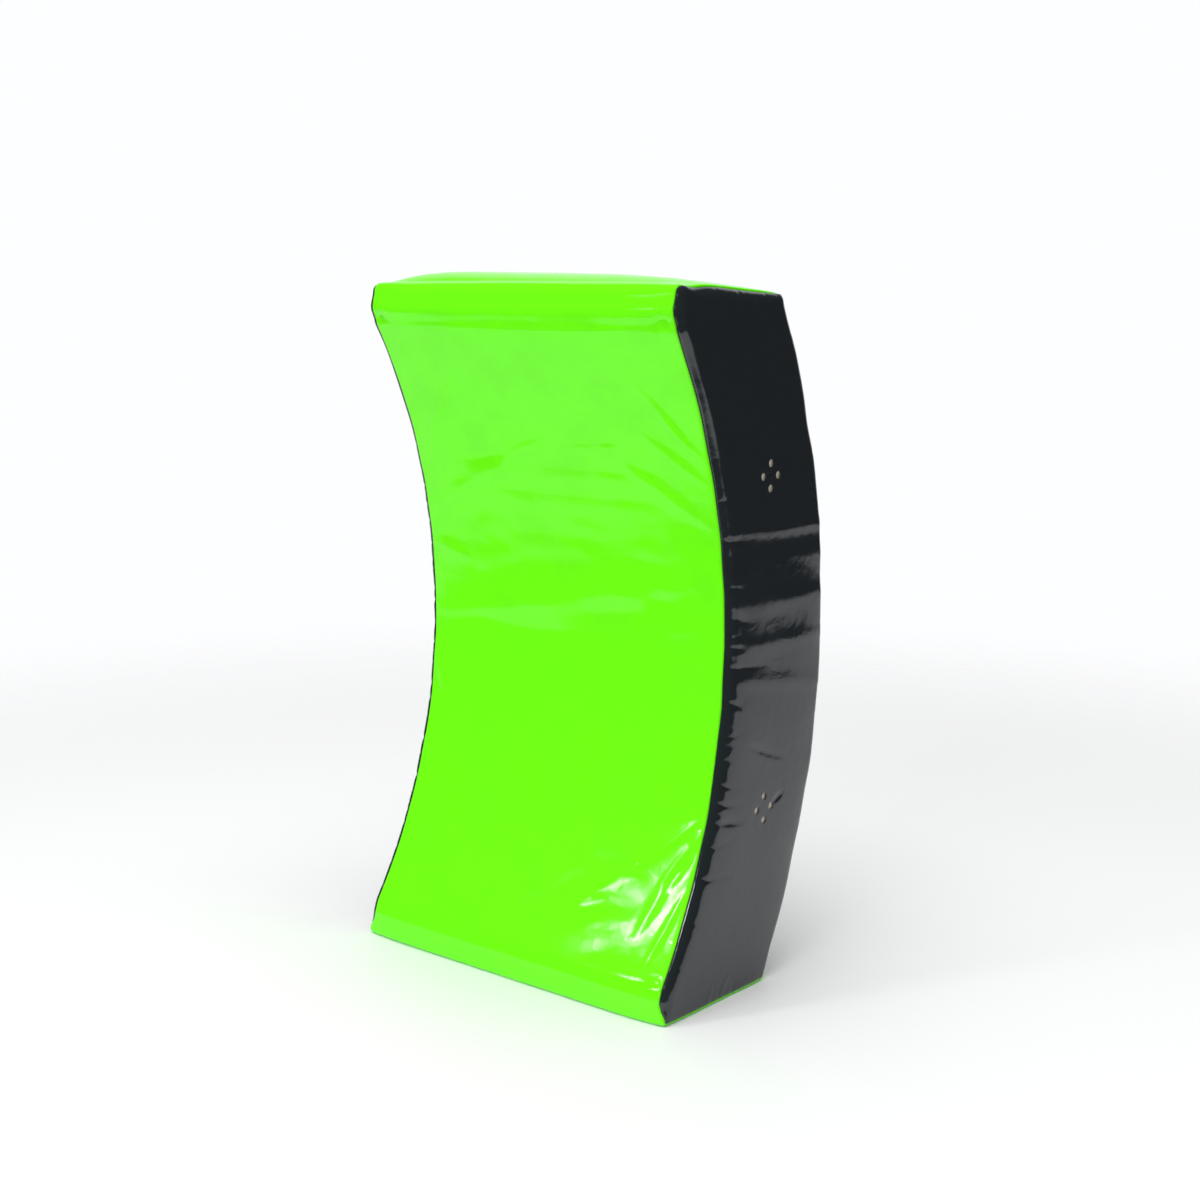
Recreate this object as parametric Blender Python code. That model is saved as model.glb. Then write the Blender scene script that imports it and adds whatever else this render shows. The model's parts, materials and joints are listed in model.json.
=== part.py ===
"""Curved tackle pad: two layers of foam in a sewn, zipped cover with two webbing handles.

Metres, +Z up. The pad stands on its bottom end, with its hollow front facing -Y and its handles
on the +Y side. The origin is the middle of the bottom face, and left is -X.
"""
from math import atan2, cos, hypot, pi, sin, tan

import bmesh
import bpy
from mathutils import Matrix, Vector

# Pad profile, seen from the side
FRONT_HEIGHT = 0.760
HEIGHT_LOST_AT_BACK = 0.009
END_DEPTH = 0.176
FRONT_SAG = 0.098
BACK_SAG = 0.098
NOSE_HEIGHT = 0.036
NOSE_RADIUS = 0.014
NOSE_BULGE = 0.002
CREASE_DEPTH = 0.002
HEEL_RADIUS = 0.004

# Pad width, and the swell of its faces between the seams
PAD_WIDTH = 0.430
FRONT_CROWN = 0.005
TOP_CROWN = 0.004
SIDE_CROWN = 0.005
SIDE_DRAW_IN = 0.003
FLAT_SHARE = 0.65

# Foam layers and cover
IMPACT_LAYER = 0.050
COVER = 0.0010
COVER_TURN = 0.010
GAP = 0.0003
FOAM_SIDE_PLAY = 0.0005

# Vent holes in the side panels
VENT_DIAMETER = 0.0085
VENT_SPREAD = 0.0133
VENT_FROM_FRONT = 0.106
VENT_HEIGHTS = (0.192, 0.5585)

# Zip across the upper back
ZIP_FROM_TOP = 0.088
ZIP_BAND = 0.038
ZIP_SLOT = 0.0136
CHAIN_FROM_SIDE = 0.035
CHAIN_THICKNESS = 0.0024
TOOTH_PITCH = 0.0036
TOOTH_REACH = 0.0023
TOOTH_TAPER = 0.0002
BEAD_WIDTH = 0.0016
TAPE_WIDTH = 0.0120
TAPE_THICKNESS = 0.0007
STOP_LENGTH = 0.0044
STOP_FLANGE = 0.0007
SLIDER_LENGTH = 0.0130
SLIDER_PLATE = 0.0012
SLIDER_NOSE = 0.0124
SLIDER_TAIL = 0.0110
SLIDER_SHOULDER = 0.0055
SLIDER_CORNER = 0.0015
BRIDGE_LENGTH = 0.0080
BRIDGE_WIDTH = 0.0022
BRIDGE_BAR = 0.0010
BRIDGE_LEG = 0.0013
BRIDGE_CLEAR = 0.0020
TAB_LENGTH = 0.0260
TAB_WIDTH = 0.0072
TAB_THICKNESS = 0.0012
TAB_CORNER = 0.0022
TAB_HOLE_RADIUS = 0.0014
TAB_HOLE_FROM_END = 0.0042
TAB_SIDE_PLAY = 0.0004

# Webbing handles on the back
HANDLE_FROM_SIDE = 0.115
ANCHOR_SPACING = 0.250
HANDLE_RISE = 0.058
HANDLE_RUN = 0.136
WEBBING_WIDTH = 0.038
WEBBING_THICKNESS = 0.0020
WEBBING_SEWN = 0.045
ROOT_BEND = 0.008
SHOULDER_BEND = 0.020
SWING_START = 0.017
GRIP_LENGTH = 0.116
GRIP_WIDTH = 0.046
GRIP_DEPTH = 0.017
GRIP_END = 0.005
GRIP_END_SHARE = 0.45
GRIP_SQUARENESS = 0.75
PATCH_THICKNESS = 0.0010
PATCH_WIDTH = 0.060
PATCH_MARGIN = 0.012
PATCH_FORWARD = 0.007
PATCH_CORNER = 0.008

# Facets
CORNER_STEPS = 3
HOLLOW_STEPS = 19
ROWS_ABOVE_ZIP = 3
BEND_STEPS = 4
VENT_SIDES = 12
GRIP_SIDES = 20
HOLE_SIDES = 10
EDGE_STEPS = 3

# Derived sizes
BACK_HEIGHT = FRONT_HEIGHT - HEIGHT_LOST_AT_BACK
CHAIN_LENGTH = PAD_WIDTH - 2 * CHAIN_FROM_SIDE
HANDLE_SPACING = PAD_WIDTH - 2 * HANDLE_FROM_SIDE
INNER = COVER + GAP
HALF_WIDTH = PAD_WIDTH / 2
EDGE = [FLAT_SHARE + (1 - FLAT_SHARE) * step / EDGE_STEPS for step in range(EDGE_STEPS + 1)]
STATIONS = [-across for across in reversed(EDGE)] + [0.0] + EDGE
SPLIT = IMPACT_LAYER / END_DEPTH
COLUMNS = (0.0, SPLIT / 2, SPLIT, SPLIT + (1 - SPLIT) / 3, SPLIT + 2 * (1 - SPLIT) / 3, 1.0)
RAKE = atan2((FRONT_HEIGHT - BACK_HEIGHT) / 2, END_DEPTH)
CHAIN_LEVEL = -INNER - TAPE_THICKNESS / 2
BEAD_INNER = TOOTH_REACH + GAP
BEAD_OUTER = BEAD_INNER + BEAD_WIDTH
TAPE_OUTER = BEAD_OUTER + TAPE_WIDTH
STOP_DEPTH = CHAIN_THICKNESS / 2 + GAP + STOP_FLANGE
PLATE_BOTTOM = CHAIN_LEVEL + CHAIN_THICKNESS / 2 + GAP
PLATE_TOP = PLATE_BOTTOM + SLIDER_PLATE
SLIDER_REST = -(CHAIN_LENGTH - SLIDER_LENGTH) / 2 + GAP

FINISHES = {
    "green_vinyl": ((0.10, 0.93, 0.02), 0.32, 0.0),
    "black_vinyl": ((0.012, 0.013, 0.014), 0.26, 0.0),
    "foam": ((0.83, 0.78, 0.66), 0.95, 0.0),
    "webbing": ((0.016, 0.016, 0.017), 0.82, 0.0),
    "zip_nylon": ((0.018, 0.018, 0.019), 0.60, 0.0),
    "zip_metal": ((0.05, 0.05, 0.052), 0.38, 0.9),
}


def clear_scene():
    """Remove every object that the file starts with."""
    for thing in list(bpy.data.objects):
        bpy.data.objects.remove(thing, do_unlink=True)


def finish_material(name):
    """The named finish as a Principled material, made once."""
    found = bpy.data.materials.get(name)
    if found:
        return found
    color, roughness, metallic = FINISHES[name]
    material = bpy.data.materials.new(name)
    material.use_nodes = True
    shader = material.node_tree.nodes["Principled BSDF"]
    shader.inputs["Base Color"].default_value = (*color, 1.0)
    shader.inputs["Roughness"].default_value = roughness
    shader.inputs["Metallic"].default_value = metallic
    return material


def new_object(name, mesh_data, finish, parent=None):
    """Turn a bmesh into a named object with its finish, under a parent that places it."""
    mesh = bpy.data.meshes.new(name)
    mesh_data.to_mesh(mesh)
    mesh_data.free()
    mesh.shade_smooth()
    mesh.set_sharp_from_angle(angle=pi / 5)
    mesh.materials.append(finish_material(finish))
    thing = bpy.data.objects.new(name, mesh)
    thing.parent = parent
    bpy.context.scene.collection.objects.link(thing)
    return thing


def new_frame(name, placement, parent=None):
    """An empty that places the pieces parented to it."""
    frame = bpy.data.objects.new(name, None)
    frame.parent = parent
    frame.matrix_local = placement
    bpy.context.scene.collection.objects.link(frame)
    return frame


def use_boolean(thing, helper, operation):
    """Cut a helper out of an object, or join it on. The helper isn't a piece itself."""
    helper.hide_render = True
    helper.display_type = "WIRE"
    modifier = thing.modifiers.new(helper.name, "BOOLEAN")
    modifier.operation = operation
    modifier.solver = "EXACT"
    modifier.object = helper


def add_prism(mesh_data, outline, low, high, place):
    """A closed prism: a flat outline swept from low to high. place turns (u, v, sweep) into a point."""
    base = [mesh_data.verts.new(place(u, v, low)) for u, v in outline]
    face = mesh_data.faces.new(base)
    swept = bmesh.ops.extrude_face_region(mesh_data, geom=[face])["geom"]
    moved = [item for item in swept if isinstance(item, bmesh.types.BMVert)]
    shift = Vector(place(0.0, 0.0, high)) - Vector(place(0.0, 0.0, low))
    bmesh.ops.translate(mesh_data, verts=moved, vec=shift)
    bmesh.ops.recalc_face_normals(mesh_data, faces=mesh_data.faces)


def add_box(mesh_data, low, high):
    """A box between two opposite corners."""
    outline = [(low[0], low[1]), (high[0], low[1]), (high[0], high[1]), (low[0], high[1])]
    add_prism(mesh_data, outline, low[2], high[2], lambda u, v, w: (u, v, w))


def prism(name, outline, low, high, place, finish, parent=None):
    mesh_data = bmesh.new()
    add_prism(mesh_data, outline, low, high, place)
    return new_object(name, mesh_data, finish, parent)


def bridge_loops(mesh_data, loops):
    """Join a row of equal loops of verts into a closed skin with flat ends."""
    for loop, following in zip(loops, loops[1:]):
        for index, vert in enumerate(loop):
            after = (index + 1) % len(loop)
            mesh_data.faces.new((vert, loop[after], following[after], following[index]))
    mesh_data.faces.new(loops[0])
    mesh_data.faces.new(loops[-1])
    bmesh.ops.recalc_face_normals(mesh_data, faces=mesh_data.faces)


def fillet(before, corner, after, radius, steps):
    """Points of the arc that rounds a corner, from its first side to its second."""
    to_before = (before - corner).normalized()
    to_after = (after - corner).normalized()
    half_angle = to_before.angle(to_after) / 2
    centre = corner + (to_before + to_after).normalized() * (radius / sin(half_angle))
    start = corner + to_before * (radius / tan(half_angle)) - centre
    end = corner + to_after * (radius / tan(half_angle)) - centre
    sweep = atan2(start.x * end.y - start.y * end.x, start.dot(end))
    turns = [sweep * step / steps for step in range(steps + 1)]
    return [centre + Vector((start.x * cos(t) - start.y * sin(t), start.x * sin(t) + start.y * cos(t)))
            for t in turns]


def arc_on(depth, half_height, sag):
    """An arc bulging from a chord: its point at an angle, its radius and its end angle."""
    radius = (half_height ** 2 + sag ** 2) / (2 * sag)
    centre = depth + sag - radius

    def point(turn):
        return Vector((centre + radius * cos(turn), radius * sin(turn)))

    return point, radius, atan2(half_height, depth - centre)


def mirrored(points):
    """The lower end of a profile line turned into its upper end."""
    return [Vector((point.x, -point.y)) for point in reversed(points)]


def front_line():
    """The front from the bottom face to the top face: nose, crease, hollow, crease, nose."""
    corner = Vector((0.0, -FRONT_HEIGHT / 2))
    heel = Vector((END_DEPTH, -BACK_HEIGHT / 2))
    crease = corner + Vector((0.0, NOSE_HEIGHT))
    lower = fillet(heel, corner, crease, NOSE_RADIUS, CORNER_STEPS)
    bulge = (lower[-1] + crease) / 2 - Vector((NOSE_BULGE, 0.0))
    lower += [bulge, crease + Vector((CREASE_DEPTH, 0.0))]
    arc, _, end = arc_on(0.0, FRONT_HEIGHT / 2 - NOSE_HEIGHT, FRONT_SAG)
    hollow = [arc(end * (2 * step / HOLLOW_STEPS - 1)) for step in range(1, HOLLOW_STEPS)]
    return lower + hollow + mirrored(lower)


def back_line(point_count):
    """The back from the bottom face to the top face, with one straight run for the zip."""
    corner = Vector((END_DEPTH, -BACK_HEIGHT / 2))
    nose = Vector((0.0, -FRONT_HEIGHT / 2))
    arc, radius, end = arc_on(END_DEPTH, BACK_HEIGHT / 2, BACK_SAG)
    zip_top = end - (ZIP_FROM_TOP - ZIP_BAND / 2) / radius
    zip_bottom = end - (ZIP_FROM_TOP + ZIP_BAND / 2) / radius
    below = point_count - 2 * (CORNER_STEPS + 1) - ROWS_ABOVE_ZIP
    turns = [-end + (zip_bottom + end) * step / below for step in range(1, below + 1)]
    turns += [zip_top + (end - zip_top) * step / ROWS_ABOVE_ZIP for step in range(ROWS_ABOVE_ZIP)]
    lower = fillet(nose, corner, arc(turns[0]), HEEL_RADIUS, CORNER_STEPS)
    return lower + [arc(turn) for turn in turns] + mirrored(lower)


def stand_up(points):
    """Turn profile points so that the raked bottom face lies on the floor, its middle at zero."""
    middle = Vector((END_DEPTH / 2, -(FRONT_HEIGHT + BACK_HEIGHT) / 4))
    moved = [point - middle for point in points]
    return [Vector((p.x * cos(RAKE) + p.y * sin(RAKE), p.y * cos(RAKE) - p.x * sin(RAKE)))
            for p in moved]


def offset_line(points, distance, closed=False):
    """A line moved to its right by a distance, with mitred corners."""
    moved = []
    last = len(points) - 1
    for index, point in enumerate(points):
        before = points[index - 1] if closed or index > 0 else None
        after = points[(index + 1) % len(points)] if closed or index < last else None
        along_in = (point - before if before is not None else after - point).normalized()
        along_out = (after - point if after is not None else point - before).normalized()
        right_in = Vector((along_in.y, -along_in.x))
        right_out = Vector((along_out.y, -along_out.x))
        moved.append(point + (right_in + right_out) * (distance / (1 + right_in.dot(right_out))))
    return moved


FRONT = stand_up(front_line())
BACK = stand_up(back_line(len(FRONT)))
ROWS = len(FRONT) - 1
ZIP_ROW = ROWS - CORNER_STEPS - ROWS_ABOVE_ZIP - 0.5


def profile_lines(inset):
    """The front and back lines of a layer that lies an inset inside the cover's outer face."""
    loop = offset_line(FRONT + BACK[::-1], inset, closed=True)
    return loop[:len(FRONT)], loop[len(FRONT):][::-1]


def on_line(line, row):
    """The point of a line at a row, which may lie between two of its points."""
    low = min(int(row), len(line) - 2)
    return line[low].lerp(line[low + 1], row - low)


def rows_between(low, high):
    """Two rows and the whole rows between them, from low to high."""
    return [low] + [row for row in range(ROWS + 1) if low < row < high] + [high]


def back_row(length):
    """The row that lies a length up the back from the end of its bottom corner."""
    row = CORNER_STEPS
    while row < ROWS - 1 and length > (BACK[row + 1] - BACK[row]).length:
        length -= (BACK[row + 1] - BACK[row]).length
        row += 1
    return row + length / (BACK[row + 1] - BACK[row]).length


def back_length():
    """The length of the back between its two rounded corners."""
    line = BACK[CORNER_STEPS:ROWS + 1 - CORNER_STEPS]
    return sum((after - point).length for point, after in zip(line, line[1:]))


def pad_point(lines, across, depth, row, side_inset=0.0):
    """A point of a layer: across from -1 to 1, depth from 0 at the front to 1, row upwards."""
    flat = on_line(lines[0], row).lerp(on_line(lines[1], row), depth)
    edge = max(0.0, (abs(across) - FLAT_SHARE) / (1 - FLAT_SHARE))
    swell = 1 - edge ** 2
    belly = 4 * depth * (1 - depth)
    level = 2 * flat.y / FRONT_HEIGHT - 1
    half = HALF_WIDTH - side_inset - SIDE_DRAW_IN * (1 - level ** 2)
    half += SIDE_CROWN * belly * (1 - level ** 4)
    y = flat.x - FRONT_CROWN * swell * (1 - depth)
    z = flat.y + (TOP_CROWN * swell * belly if row == ROWS else 0.0)
    return Vector((across * half, y, z))


def sheet(name, grid, finish):
    """A panel of cover cloth: a grid of outer points whose faces point out, thickened inwards."""
    mesh_data = bmesh.new()
    verts = [[mesh_data.verts.new(point) for point in line] for line in grid]
    for line, following in zip(verts, verts[1:]):
        for index in range(len(line) - 1):
            mesh_data.faces.new((line[index], line[index + 1], following[index + 1], following[index]))
    panel = new_object(name, mesh_data, finish)
    wall = panel.modifiers.new("wall", "SOLIDIFY")
    wall.thickness = COVER
    wall.offset = -1.0
    wall.use_even_offset = True
    return panel


def wrap_panel():
    """One piece of cloth over the bottom, front and top, turned round both back corners."""
    outer = profile_lines(0.0)
    turn_low = back_row(COVER_TURN)
    turn_high = back_row(back_length() - COVER_TURN)
    path = [(1.0, row) for row in reversed(rows_between(0, turn_low))]
    path += [(depth, 0) for depth in reversed(COLUMNS[1:-1])]
    path += [(0.0, row) for row in range(ROWS + 1)]
    path += [(depth, ROWS) for depth in COLUMNS[1:-1]]
    path += [(1.0, row) for row in reversed(rows_between(turn_high, ROWS))]
    grid = [[pad_point(outer, across, depth, row) for across in STATIONS] for depth, row in path]
    return sheet("wrap_panel", grid, "green_vinyl")


def back_panel(name, low, high):
    """The part of the back cloth between two rows."""
    outer = profile_lines(0.0)
    rows = reversed(rows_between(low, high))
    return sheet(name, [[pad_point(outer, across, 1.0, row) for across in STATIONS] for row in rows],
                 "black_vinyl")


def back_panels():
    """Two back panels with the zip's slot between them."""
    length_of_row = (BACK[int(ZIP_ROW) + 1] - BACK[int(ZIP_ROW)]).length
    half_slot = ZIP_SLOT / 2 / length_of_row
    back_panel("back_panel_lower", back_row(COVER_TURN + GAP), ZIP_ROW - half_slot)
    back_panel("back_panel_upper", ZIP_ROW + half_slot, back_row(back_length() - COVER_TURN - GAP))


def vent_punches(name, side):
    """Four round punches in a diamond at each vent height."""
    mesh_data = bmesh.new()
    for height in VENT_HEIGHTS:
        low = next(row for row in range(ROWS) if FRONT[row + 1].y > height)
        share = (height - FRONT[low].y) / (FRONT[low + 1].y - FRONT[low].y)
        y = on_line(FRONT, low + share).x + VENT_FROM_FRONT
        for quarter in range(4):
            turn = quarter * pi / 2
            centre = (side * HALF_WIDTH, y + VENT_SPREAD * cos(turn), height + VENT_SPREAD * sin(turn))
            bmesh.ops.create_cone(
                mesh_data, cap_ends=True, segments=VENT_SIDES, radius1=VENT_DIAMETER / 2,
                radius2=VENT_DIAMETER / 2, depth=2 * (SIDE_CROWN + SIDE_DRAW_IN + 2 * COVER),
                matrix=Matrix.Translation(centre) @ Matrix.Rotation(pi / 2, 4, "Y"))
    return new_object(name, mesh_data, "black_vinyl")


def side_panel(name, side):
    """The side cloth, set inside the edges of the wrap and back panels, with punched vents."""
    lines = profile_lines(INNER)
    columns = COLUMNS if side > 0 else COLUMNS[::-1]
    grid = [[pad_point(lines, side, depth, row) for depth in columns] for row in range(ROWS + 1)]
    panel = sheet(name, grid, "black_vinyl")
    use_boolean(panel, vent_punches(name + "_punches", side), "DIFFERENCE")


def foam_layer(name, columns):
    """A block of foam between two depths, filling the cover."""
    lines = profile_lines(INNER)
    mesh_data = bmesh.new()
    verts = {}

    def corner(station, column, row):
        key = (station, column, row)
        if key not in verts:
            point = pad_point(lines, STATIONS[station], columns[column], row, INNER + FOAM_SIDE_PLAY)
            verts[key] = mesh_data.verts.new(point)
        return verts[key]

    last = (len(STATIONS) - 1, len(columns) - 1, ROWS)
    for fixed in range(3):
        first, second = [axis for axis in range(3) if axis != fixed]
        for level in (0, last[fixed]):
            for i in range(last[first]):
                for j in range(last[second]):
                    ring = []
                    for step_i, step_j in ((0, 0), (1, 0), (1, 1), (0, 1)):
                        key = [0, 0, 0]
                        key[fixed] = level
                        key[first] = i + step_i
                        key[second] = j + step_j
                        ring.append(corner(*key))
                    mesh_data.faces.new(ring)
    bmesh.ops.recalc_face_normals(mesh_data, faces=mesh_data.faces)
    return new_object(name, mesh_data, "foam")


def foam_core(zip_frame):
    """A softer front layer on a firmer back layer, which has a channel for the zip."""
    split_index = COLUMNS.index(SPLIT)
    foam_layer("impact_foam", COLUMNS[:split_index + 1])
    behind = SPLIT + GAP / END_DEPTH
    backing = foam_layer("backing_foam", (behind,) + COLUMNS[split_index + 1:])
    channel = bmesh.new()
    width = TAPE_OUTER + 2 * GAP
    add_box(channel, (-HALF_WIDTH, -width, CHAIN_LEVEL - STOP_DEPTH - GAP), (HALF_WIDTH, width, 0.0))
    use_boolean(backing, new_object("zip_channel", channel, "foam", zip_frame), "DIFFERENCE")


def zip_placement():
    """X along the zip, Y down the back and Z out of it, with zero on the cover's outer face."""
    low, high = BACK[int(ZIP_ROW)], BACK[int(ZIP_ROW) + 1]
    up = (high - low).normalized()
    middle = (low + high) / 2
    placement = Matrix(((1, 0, 0), (0, -up.x, up.y), (0, -up.y, -up.x))).to_4x4()
    placement.translation = (0.0, middle.x, middle.y)
    return placement


def zip_stringer(name, side, zip_frame):
    """One half of the zip: a tape, a bead along its edge and the teeth moulded on the bead."""
    tape_end = pad_point(profile_lines(0.0), 1.0, 1.0, ZIP_ROW).x - INNER - GAP
    width = TOOTH_PITCH / 2 - GAP
    root = width + TOOTH_TAPER * BEAD_INNER / TOOTH_REACH
    tip = width - TOOTH_TAPER
    first = -CHAIN_LENGTH / 2 + GAP + root / 2
    count = int((CHAIN_LENGTH - 2 * GAP - root - TOOTH_PITCH / 2) / TOOTH_PITCH) + 1
    first += TOOTH_PITCH / 2 if side < 0 else 0.0
    outline = [(-tape_end, BEAD_INNER)]
    for index in range(count):
        centre = first + index * TOOTH_PITCH
        outline += [(centre - root / 2, BEAD_INNER), (centre - tip / 2, -TOOTH_REACH),
                    (centre + tip / 2, -TOOTH_REACH), (centre + root / 2, BEAD_INNER)]
    outline += [(tape_end, BEAD_INNER), (tape_end, BEAD_OUTER), (-tape_end, BEAD_OUTER)]
    mesh_data = bmesh.new()
    half = CHAIN_THICKNESS / 2
    add_prism(mesh_data, outline, CHAIN_LEVEL - half, CHAIN_LEVEL + half, lambda u, v, w: (u, side * v, w))
    wall = max(mesh_data.faces, key=lambda face: side * face.calc_center_median().y)
    bmesh.ops.inset_individual(mesh_data, faces=[wall], thickness=(CHAIN_THICKNESS - TAPE_THICKNESS) / 2)
    tape = bmesh.ops.extrude_discrete_faces(mesh_data, faces=[wall])["faces"][0]
    bmesh.ops.translate(mesh_data, verts=tape.verts, vec=(0.0, side * TAPE_WIDTH, 0.0))
    return new_object(name, mesh_data, "zip_nylon", zip_frame)


def zip_stop(name, side, zip_frame):
    """An H-shaped clip that closes the end of the chain on both beads."""
    web = BEAD_INNER - GAP
    flange = BEAD_OUTER
    half = CHAIN_THICKNESS / 2 + GAP
    corner = [(flange, STOP_DEPTH), (flange, half), (web, half)]
    right = corner + [(y, -z) for y, z in reversed(corner)]
    outline = right + [(-y, z) for y, z in reversed(right)]
    near = side * CHAIN_LENGTH / 2
    return prism(name, outline, near, near + side * STOP_LENGTH,
                 lambda u, v, w: (w, u, v + CHAIN_LEVEL), "zip_nylon", zip_frame)


def zip_slider(zip_frame):
    """The slider at the closed end: a plate with two side walls and a bridge for the tab."""
    track = new_frame("zip_slider_track", Matrix.Translation((SLIDER_REST, 0.0, 0.0)), zip_frame)
    end = SLIDER_LENGTH / 2
    nose, tail = SLIDER_NOSE / 2, SLIDER_TAIL / 2
    side = [(-end, nose - SLIDER_CORNER), (-end + SLIDER_CORNER, nose), (-end + SLIDER_SHOULDER, nose),
            (end - SLIDER_SHOULDER, tail), (end - SLIDER_CORNER, tail), (end, tail - SLIDER_CORNER)]
    outline = side + [(x, -y) for x, y in reversed(side)]
    slider = prism("zip_slider", outline, -INNER + GAP, PLATE_TOP, lambda u, v, w: (u, v, w),
                   "zip_metal", track)
    channel = bmesh.new()
    wall = BEAD_OUTER + GAP
    add_box(channel, (-SLIDER_LENGTH, -wall, CHAIN_LEVEL), (SLIDER_LENGTH, wall, PLATE_BOTTOM))
    use_boolean(slider, new_object("slider_channel", channel, "zip_metal", track), "DIFFERENCE")
    outer, inner = BRIDGE_LENGTH / 2, BRIDGE_LENGTH / 2 - BRIDGE_LEG
    foot, eye = PLATE_TOP - GAP, PLATE_TOP + BRIDGE_CLEAR
    arch = [(-outer, foot), (-outer, eye), (-inner, eye + BRIDGE_BAR), (inner, eye + BRIDGE_BAR),
            (outer, eye), (outer, foot), (inner, foot), (inner, eye), (-inner, eye), (-inner, foot)]
    bridge = prism("slider_bridge", arch, -BRIDGE_WIDTH / 2, BRIDGE_WIDTH / 2,
                   lambda u, v, w: (u, w, v), "zip_metal", track)
    use_boolean(slider, bridge, "UNION")
    return track


def zip_pull_tab(track):
    """The pull tab, whose end bar turns under the slider's bridge."""
    pivot_level = PLATE_TOP + BRIDGE_CLEAR / 2
    pivot = new_frame("zip_tab_pivot", Matrix.Translation((0.0, 0.0, pivot_level)), track)
    half_bar = TAB_THICKNESS / 2
    window_end = hypot(BRIDGE_LENGTH / 2, BRIDGE_CLEAR / 2 + BRIDGE_BAR) + GAP
    window_side = BRIDGE_WIDTH / 2 + TAB_SIDE_PLAY
    half = TAB_WIDTH / 2
    corners = [Vector((-half_bar, half)), Vector((TAB_LENGTH, half)), Vector((TAB_LENGTH, -half)),
               Vector((-half_bar, -half))]
    outline = [corners[0]] + fillet(*corners[0:3], TAB_CORNER, CORNER_STEPS)
    outline += fillet(*corners[1:4], TAB_CORNER, CORNER_STEPS) + [corners[3]]
    tab = prism("zip_pull_tab", outline, -half_bar, half_bar, lambda u, v, w: (u, v, w),
                "zip_metal", pivot)
    holes = bmesh.new()
    add_box(holes, (half_bar, -window_side, -TAB_THICKNESS), (window_end, window_side, TAB_THICKNESS))
    bmesh.ops.create_cone(
        holes, cap_ends=True, segments=HOLE_SIDES, radius1=TAB_HOLE_RADIUS, radius2=TAB_HOLE_RADIUS,
        depth=2 * TAB_THICKNESS, matrix=Matrix.Translation((TAB_LENGTH - TAB_HOLE_FROM_END, 0.0, 0.0)))
    use_boolean(tab, new_object("tab_holes", holes, "zip_metal", pivot), "DIFFERENCE")


def zip_closure(zip_frame):
    zip_stringer("zip_stringer_lower", 1, zip_frame)
    zip_stringer("zip_stringer_upper", -1, zip_frame)
    zip_stop("zip_stop_left", -1, zip_frame)
    zip_stop("zip_stop_right", 1, zip_frame)
    zip_pull_tab(zip_slider(zip_frame))


def handle_axis():
    """The line through a handle's two anchors on the back, as its middle and its direction."""
    middle = back_length() / 2
    low = on_line(BACK, back_row(middle - ANCHOR_SPACING / 2))
    high = on_line(BACK, back_row(middle + ANCHOR_SPACING / 2))
    return (low + high) / 2, (high - low).normalized()


def handle_placement(x):
    """Z along the handle's hinge axis, Y out of the back and X across it."""
    middle, up = handle_axis()
    placement = Matrix(((1, 0, 0), (0, up.y, up.x), (0, -up.x, up.y))).to_4x4()
    placement.translation = (x, middle.x, middle.y)
    return placement


def from_axis(point):
    """A profile point as its distance out of the handle's axis and its place along it."""
    middle, up = handle_axis()
    away = point - middle
    return Vector((away.x * up.y - away.y * up.x, away.dot(up)))


def webbing_half(side):
    """The webbing's middle line from one sewn end to the middle of the loop. side is -1 below."""
    surface = profile_lines(-2 * GAP - PATCH_THICKNESS - WEBBING_THICKNESS / 2)[1]
    middle = back_length() / 2
    ends = [back_row(middle + side * (ANCHOR_SPACING / 2 + sewn)) for sewn in (0.0, WEBBING_SEWN)]
    rows = rows_between(min(ends), max(ends))
    sewn = [from_axis(on_line(surface, row)) for row in (rows if side < 0 else reversed(rows))]
    root = sewn[-1] + (sewn[-1] - sewn[-2]).normalized() * ROOT_BEND / 2
    shoulder = Vector((HANDLE_RISE, side * HANDLE_RUN / 2))
    top = Vector((HANDLE_RISE, 0.0))
    return (sewn + fillet(sewn[-1], root, shoulder, ROOT_BEND, BEND_STEPS)
            + fillet(root, shoulder, top, SHOULDER_BEND, BEND_STEPS))


def clip_line(points, low, high):
    """The stretch of an upward line between two levels, with its ends cut square to the axis."""
    kept = [point for point in points if low < point.y < high]
    for level, place in ((low, 0), (high, len(kept) + 1)):
        for point, after in zip(points, points[1:]):
            if point.y < level <= after.y:
                kept.insert(place, point.lerp(after, (level - point.y) / (after.y - point.y)))
                break
    return kept


def webbing_outline(low, high):
    """The side outline of the webbing between two levels along the handle's axis."""
    path = webbing_half(-1) + webbing_half(1)[::-1]
    inner = clip_line(offset_line(path, -WEBBING_THICKNESS / 2), low, high)
    outer = clip_line(offset_line(path, WEBBING_THICKNESS / 2), low, high)
    return inner + outer[::-1]


def swing_level(side):
    """How far along the axis the webbing has risen enough to swing clear of the back."""
    path = webbing_half(side)
    for point, after in zip(path, path[1:]):
        if point.x < SWING_START <= after.x:
            return point.lerp(after, (SWING_START - point.x) / (after.x - point.x)).y
    raise ValueError("SWING_START is higher than the handle")


def webbing_piece(name, low, high, frame):
    return prism(name, webbing_outline(low, high), -WEBBING_WIDTH / 2, WEBBING_WIDTH / 2,
                 lambda u, v, w: (w, u, v), "webbing", frame)


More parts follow.
